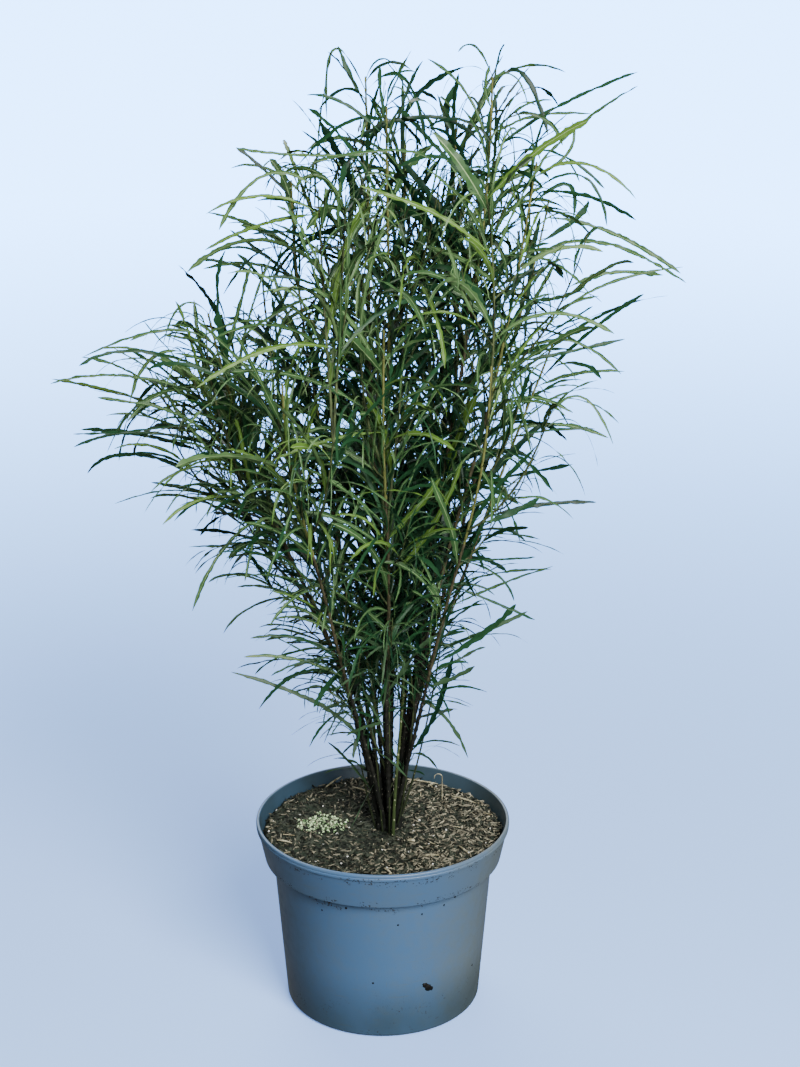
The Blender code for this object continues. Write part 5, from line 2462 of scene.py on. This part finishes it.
@dataclass
class CompostBed:
    """The compost: its uneven top, and the fibre, chips and granules in it."""

    pot: NurseryPot
    height: float = 0.160
    crown: float = 0.002
    wall_gap: float = 0.0006
    floor_gap: float = 0.0003
    ring_step: float = 0.0016
    steps: int = 168
    lump: float = 0.0026
    lumps: float = 60.0
    crumb_relief: float = 0.0016
    crumbs: float = 230.0
    relief_seed: float = 3.0
    free_from: float = 0.004
    crumb_lumps: Pair = (0.72, 1.15)
    tumbled: float = 3.0
    lying: float = 0.5
    granule_patch: Pair = (-0.054, 0.004)
    patch_radii: Pair = (0.024, 0.018)
    # By the stems' feet fewer pale pieces lie, as painted shade under the crown.
    shade_centre: Pair = (-0.006, -0.004)
    shade_radius: float = 0.044
    stalk_foot: Pair = (442, 801)
    stalk_root: float = 0.004
    stalk_height: float = 0.024
    stalk_hook: float = 0.0036
    stalk_turn: float = 1.1 * math.pi
    stalk_radii: Pair = (0.00045, 0.00028)
    # The ends of the straws that show one by one, in the photograph's pixels, and their thickness
    straws: tuple[tuple[Pair, Pair, float], ...] = (
        ((326, 787), (342, 776), 0.0008),
        ((405, 779), (438, 784), 0.0007),
        ((408, 840), (415, 841), 0.0014),
        ((421, 856), (439, 855), 0.0009),
        ((459, 846), (469, 854), 0.0008),
        ((384, 868), (391, 873), 0.0009),
        ((277, 840), (292, 843), 0.0008),
        ((452, 796), (476, 803), 0.0008),
        ((352, 787), (372, 793), 0.0007),
    )
    straw_lift: float = 0.0012
    straw_bow: float = 0.0006
    straw_taper: tuple[float, ...] = (0.6, 0.9, 1.0, 1.0, 0.95, 0.8, 0.5)

    def section(self) -> list[Pair]:
        """Draws half of the bed's section, from the middle of its top to that of its underside.

        Returns:
            The radius and height of each of its points.
        """
        pot = self.pot
        edge = pot.collar_inside(self.height - 2 * self.crown) - self.wall_gap
        knots = ((0.0, 0.0), (0.022, 0.0), (0.050, 1.0), (0.085, 0.8), (edge - 0.004, 0.4), (edge, -0.8))
        radii = np.linspace(0.0, edge, round(edge / self.ring_step))
        tops = np.interp(radii, [r for r, _ in knots], [self.height + k * self.crown for _, k in knots])
        shoulder = pot.step + 2 * pot.wall + self.wall_gap
        low = pot.floor + self.floor_gap
        sides = [
            (pot.collar_inside(shoulder) - self.wall_gap, shoulder),
            (pot.body_top_radius - pot.wall - self.wall_gap, pot.step + pot.wall),
            (pot.body_radius(low) - pot.wall - self.wall_gap, low),
            (0.0, low),
        ]
        return [*zip(radii.tolist(), tops.tolist()), *sides]

    def surface(self) -> bpy.types.Object:
        """Turns the bed from its section.

        Returns:
            The bed, with how free and how covered each place is.
        """
        mesh = turned_mesh("compost_bed", screwed("compost_bed", self.section(), self.steps))
        places = places_of(mesh)
        edge = self.pot.collar_inside(self.height) - self.wall_gap
        on_top = places[:, 2] > self.height - 2.2 * self.crown
        free = np.clip((edge - np.hypot(places[:, 0], places[:, 1])) / self.free_from, 0, 1) * on_top
        for label in ("free", "cover"):
            mesh.attributes.new(label, "FLOAT", "POINT").data.foreach_set("value", free)
        return new_object("compost_bed", mesh)

    def chip(self, name: str, length: float, width: float, thickness: float, bow: float) -> bpy.types.Object:
        """A split fibre: a bowed, tapering bar.

        Args:
            name: The object's name.
            length: Its length.
            width: Its width in the middle.
            thickness: Its thickness.
            bow: How far its ends are bent down.

        Returns:
            The object, which is strewn and then removed.
        """
        shape = bmesh.new()
        bmesh.ops.create_cube(shape, size=1.0)
        lengthwise = [e for e in shape.edges if abs(e.verts[0].co.x - e.verts[1].co.x) > 0.5]
        bmesh.ops.subdivide_edges(shape, edges=lengthwise, cuts=2)
        for vert in shape.verts:
            taper = 1 - 1.2 * vert.co.x**2
            vert.co.z = vert.co.z * thickness * taper - bow * vert.co.x**2
            vert.co.y *= width * taper
            vert.co.x *= length
        return new_object(name, free_mesh(name, shape))

    def crumb(self, name: str, size: float, seed: int, detail: int = 1) -> bpy.types.Object:
        """An uneven crumb.

        Args:
            name: The object's name.
            size: Its radius.
            seed: The seed for its lumps.
            detail: The subdivisions of the ball that it starts as.

        Returns:
            The object, which is strewn and then removed.
        """
        draw = random.Random(seed)
        shape = bmesh.new()
        bmesh.ops.create_icosphere(shape, subdivisions=detail, radius=size)
        for vert in shape.verts:
            vert.co *= draw.uniform(*self.crumb_lumps)
        return new_object(name, free_mesh(name, shape))

    def strew(self, recipe: ScatterRecipe, bed: bpy.types.Object, strewn: Strewn) -> None:
        """Strews copies of a piece over the bed, and joins them.

        Args:
            recipe: The tree that strews them.
            bed: The bed that they lie on.
            strewn: What is strewn, and how; its piece is removed afterwards.
        """
        mesh = bed.data.copy()
        free = np.empty(len(mesh.vertices))
        mesh.attributes["free"].data.foreach_get("value", free)
        mesh.attributes["cover"].data.foreach_set("value", strewn.cover(places_of(mesh)) * free)
        values = {
            "Piece": strewn.piece,
            "Density": strewn.density,
            "Smallest": strewn.sizes[0],
            "Largest": strewn.sizes[1],
            "Tilt": strewn.tilt,
            "Lift": strewn.lift,
            "Seed": strewn.seed,
            "Finish": strewn.finish.make(),
        }
        joined = recipe.run(strewn.name, new_object(strewn.name + "_ground", mesh), values)
        bpy.data.objects.remove(strewn.piece, do_unlink=True)
        hand_over(joined, Slot.COMPOST)

    def by_the_stems(self, places: Points) -> np.ndarray:
        """How near places are to the stems' feet, under the crown, where the compost is kept dark as painted
        shade.
        """
        away = np.hypot(places[:, 0] - self.shade_centre[0], places[:, 1] - self.shade_centre[1])
        return 1 - np.clip(away / self.shade_radius - 0.4, 0, 1)

    def anywhere(self, places: Points) -> np.ndarray:
        """Strews all over."""
        return np.ones(len(places))

    def off_the_painted_shade(self, places: Points) -> np.ndarray:
        """Strews all over, but thinly by the stems, where the dark is painted shade."""
        return 1 - 0.85 * self.by_the_stems(places)

    def mostly_right(self, places: Points) -> np.ndarray:
        """Strews all over, thicker to the right, and thinly in the painted shade by the stems."""
        return np.clip(0.68 + places[:, 0] / 0.17, 0.25, 1.0) * self.off_the_painted_shade(places)

    def right_side(self, places: Points) -> np.ndarray:
        """Strews mostly the right side, and thinly in the painted shade by the stems."""
        return np.clip(0.42 + places[:, 0] / 0.09, 0.10, 1.0) * self.off_the_painted_shade(places)

    def patch(self, places: Points) -> np.ndarray:
        """Strews one heap on the left."""
        away = (places[:, :2] - np.array(self.granule_patch)) / np.array(self.patch_radii)
        return np.clip(1.25 - np.hypot(away[:, 0], away[:, 1]) ** 2, 0, 1)

    def litter(self, limbs: LimbRecipe, view: View) -> None:
        """Lays the straws that show one by one, and the dry bent stalk.

        Args:
            limbs: The tree that makes round limbs.
            view: The photograph's view.
        """
        paths, radii = [], []
        shares = np.linspace(0, 1, len(self.straw_taper))[:, None]
        level = self.height + self.crown + self.straw_lift
        for start, end, thickness in self.straws:
            straight = mixed(view.on_level(start, level), view.on_level(end, level), shares)
            paths.append(straight + UP * self.straw_bow * np.sin(shares * math.pi))
            radii.append(thickness * np.array(self.straw_taper))
        foot = view.on_level(self.stalk_foot, self.height)
        top = foot + UP * self.stalk_height
        turn = np.linspace(0, self.stalk_turn, 12)[:, None]
        sideways = LEFT * self.stalk_hook * (1 - np.cos(turn))
        hook = top + sideways + UP * self.stalk_hook * np.sin(turn)
        straight = mixed(foot, top, np.linspace(0, 0.95, 8)[:, None])
        paths.append(np.concatenate([foot[None, :] - UP * self.stalk_root, straight, hook]))
        radii.append(np.linspace(*self.stalk_radii, len(paths[-1])))
        dry = GrainFinish("dry_straw", (0.20, 0.18, 0.11), (0.42, 0.39, 0.27))
        look = LimbLook(6, 0.3, 900.0, 3.0, dry)
        hand_over(limbs.lay("dry_litter", paths, radii, look), Slot.COMPOST)

    def loose_pieces(self) -> Iterator[Strewn]:
        """Makes the crumbs, fibres, straws, perlite and granules.

        Yields:
            Each kind, with how it is strewn.
        """
        moist = GrainFinish("moist_crumb", (0.004, 0.0055, 0.004), (0.032, 0.039, 0.028))
        dark = GrainFinish("dark_fibre", (0.005, 0.007, 0.005), (0.046, 0.053, 0.037))
        brown = GrainFinish("brown_fibre", (0.036, 0.035, 0.025), (0.205, 0.190, 0.138))
        tan = GrainFinish("tan_fibre", (0.10, 0.090, 0.062), (0.38, 0.345, 0.245))
        straw = GrainFinish("straw", (0.20, 0.17, 0.10), (0.40, 0.35, 0.22))
        pale = GrainFinish("perlite", (0.55, 0.55, 0.52), (0.85, 0.85, 0.82))
        granule = GrainFinish("pale_green_granules", (0.04, 0.10, 0.03), (0.58, 0.74, 0.44), 0.0030)
        crumb = self.crumb("crumb", 0.0017, 5)
        dark_bar = self.chip("dark_bar", 0.0080, 0.0011, 0.0006, 0.0010)
        brown_bar = self.chip("brown_bar", 0.0042, 0.0008, 0.0005, 0.0003)
        tan_bar = self.chip("tan_bar", 0.0032, 0.0009, 0.0005, 0.0003)
        stalk = self.chip("straw_bar", 0.0100, 0.0008, 0.0006, 0.0004)
        grain = self.crumb("grain", 0.0010, 6)
        ball = self.crumb("granule", 0.0012, 7, 2)
        lying, tumbled = self.lying, self.tumbled
        all_over, rightish = self.anywhere, self.mostly_right
        yield Strewn("compost_crumbs", crumb, 60000.0, (0.4, 1.2), tumbled, 0.0002, 11, all_over, moist)
        yield Strewn("dark_fibres", dark_bar, 30000.0, (0.4, 1.4), lying, 0.0006, 12, all_over, dark)
        yield Strewn("brown_fibres", brown_bar, 95000.0, (0.2, 1.5), lying, 0.0012, 13, rightish, brown)
        yield Strewn("tan_fibres", tan_bar, 34000.0, (0.2, 1.3), lying, 0.0018, 14, self.right_side, tan)
        yield Strewn("straws", stalk, 500.0, (0.4, 1.4), lying, 0.0018, 15, self.off_the_painted_shade, straw)
        yield Strewn("perlite_grains", grain, 3200.0, (0.5, 1.3), tumbled, 0.0014, 24, all_over, pale)
        yield Strewn("pale_granules", ball, 420000.0, (0.35, 1.2), tumbled, 0.0022, 25, self.patch, granule)

    def build(self, limbs: LimbRecipe, view: View) -> None:
        """Makes the bed and all that lies in it.

        Args:
            limbs: The tree that makes round limbs.
            view: The photograph's view.
        """
        dark, light, fibre = (0.003, 0.0048, 0.003), (0.024, 0.034, 0.024), (0.17, 0.155, 0.10)
        values = {
            "Lump": self.lump,
            "Lumps": self.lumps,
            "Crumb": self.crumb_relief,
            "Crumbs": self.crumbs,
            "Seed": self.relief_seed,
            "Finish": CompostFinish("moist_compost", dark, light, fibre).make(),
        }
        bed = ReliefRecipe().run("compost_bed", self.surface(), values)
        recipe = ScatterRecipe()
        for strewn in self.loose_pieces():
            self.strew(recipe, bed, strewn)
        self.litter(limbs, view)
        hand_over(bed, Slot.COMPOST, "soil")


# Studio


@dataclass(frozen=True)
class Lamp:
    """A soft square light."""

    name: str
    place: Place
    size: float
    power: float
    tone: Colour

    def hang(self, target: Place) -> None:
        """Hangs the lamp.

        Args:
            target: What it faces.
        """
        data = bpy.data.lights.new(self.name, "AREA")
        data.size = self.size
        data.energy = self.power
        data.color = self.tone
        item = new_object(self.name, data)
        item.location = self.place
        aim = np.array(target) - np.array(self.place)
        item.rotation_euler = Vector(aim.tolist()).to_track_quat("-Z", "Y").to_euler()


@dataclass
class Studio:
    """A plain pale floor, soft lights and the photograph's viewing angle."""

    view: View = View()
    sensor: float = 36.0
    floor_size: float = 60.0
    floor_drop: float = 0.0004
    floor_gloss: float = 0.9
    floor_tone: Colour = (0.33, 0.56, 1.0)
    near_glow: Colour = (0.0125, 0.0220, 0.0560)
    glow_tone: Colour = (0.18, 0.46, 1.0)
    glow: float = 10.5
    glow_from: float = 0.3
    glow_to: float = 4.8
    world_tone: Colour = (0.95, 0.98, 1.0)
    world_strength: float = 0.22
    target: Place = (0.0, 0.0, 0.45)
    lamps: tuple[Lamp, ...] = (
        Lamp("key_light", (1.0, -2.1, 1.8), 1.4, 192.0, (1.0, 0.99, 0.965)),
        Lamp("fill_light", (-2.0, -1.2, 1.4), 2.0, 3.0, (0.90, 0.95, 1.0)),
        Lamp("back_light", (-0.6, 2.2, 2.2), 2.2, 70.0, (0.97, 0.99, 1.0)),
    )

    def camera(self) -> None:
        """Sets up the camera."""
        data = bpy.data.cameras.new("camera")
        data.sensor_width = self.sensor
        data.lens = self.sensor * self.view.focal_pixels / max(self.view.size)
        item = new_object("camera", data)
        item.location = self.view.place
        item.rotation_euler = (math.pi / 2 - self.view.pitch_down, 0.0, 0.0)
        bpy.context.scene.camera = item

    def floor(self) -> None:
        """Lays the floor, which glows more the further off it is."""
        shape = bmesh.new()
        bmesh.ops.create_grid(shape, x_segments=1, y_segments=1, size=self.floor_size)
        paint = Paint("pale_floor")
        paint.give("Base Color", self.floor_tone)
        paint.give("Roughness", self.floor_gloss)
        reach = paint.out("ShaderNodeVectorMath", {0: paint.place}, "Value", operation="LENGTH")
        far = Signal(paint, reach).ease(self.glow_from, self.glow_to)
        paint.give("Emission Color", paint.blend(far, self.near_glow, self.glow_tone))
        paint.give("Emission Strength", self.glow)
        mesh = free_mesh("studio_floor", shape)
        mesh.materials.append(paint.material)
        floor = new_object("studio_floor", mesh)
        floor.location.z = -self.floor_drop
        floor.visible_diffuse = False
        floor.visible_glossy = False
        floor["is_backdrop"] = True

    def build(self) -> None:
        """Builds the floor, the lights, the world and the camera."""
        self.floor()
        for lamp in self.lamps:
            lamp.hang(self.target)
        world = bpy.data.worlds.new("studio_world")
        world.use_nodes = True
        background = world.node_tree.nodes["Background"]
        background.inputs["Color"].default_value = (*self.world_tone, 1.0)
        background.inputs["Strength"].default_value = self.world_strength
        bpy.context.scene.world = world
        self.camera()


def main() -> None:
    """Builds the plant, its pot and the studio, in order."""
    logging.basicConfig(level=logging.INFO, format="%(name)s %(message)s")
    Studio().build()
    growth = Growth()
    growth.grow()
    limbs = LimbRecipe()
    BarkedStems(growth).build(limbs)
    Crown(growth).build(limbs)
    pot = NurseryPot()
    pot.build(growth.view)
    CompostBed(pot).build(limbs, growth.view)


if __name__ == "__main__":
    main()
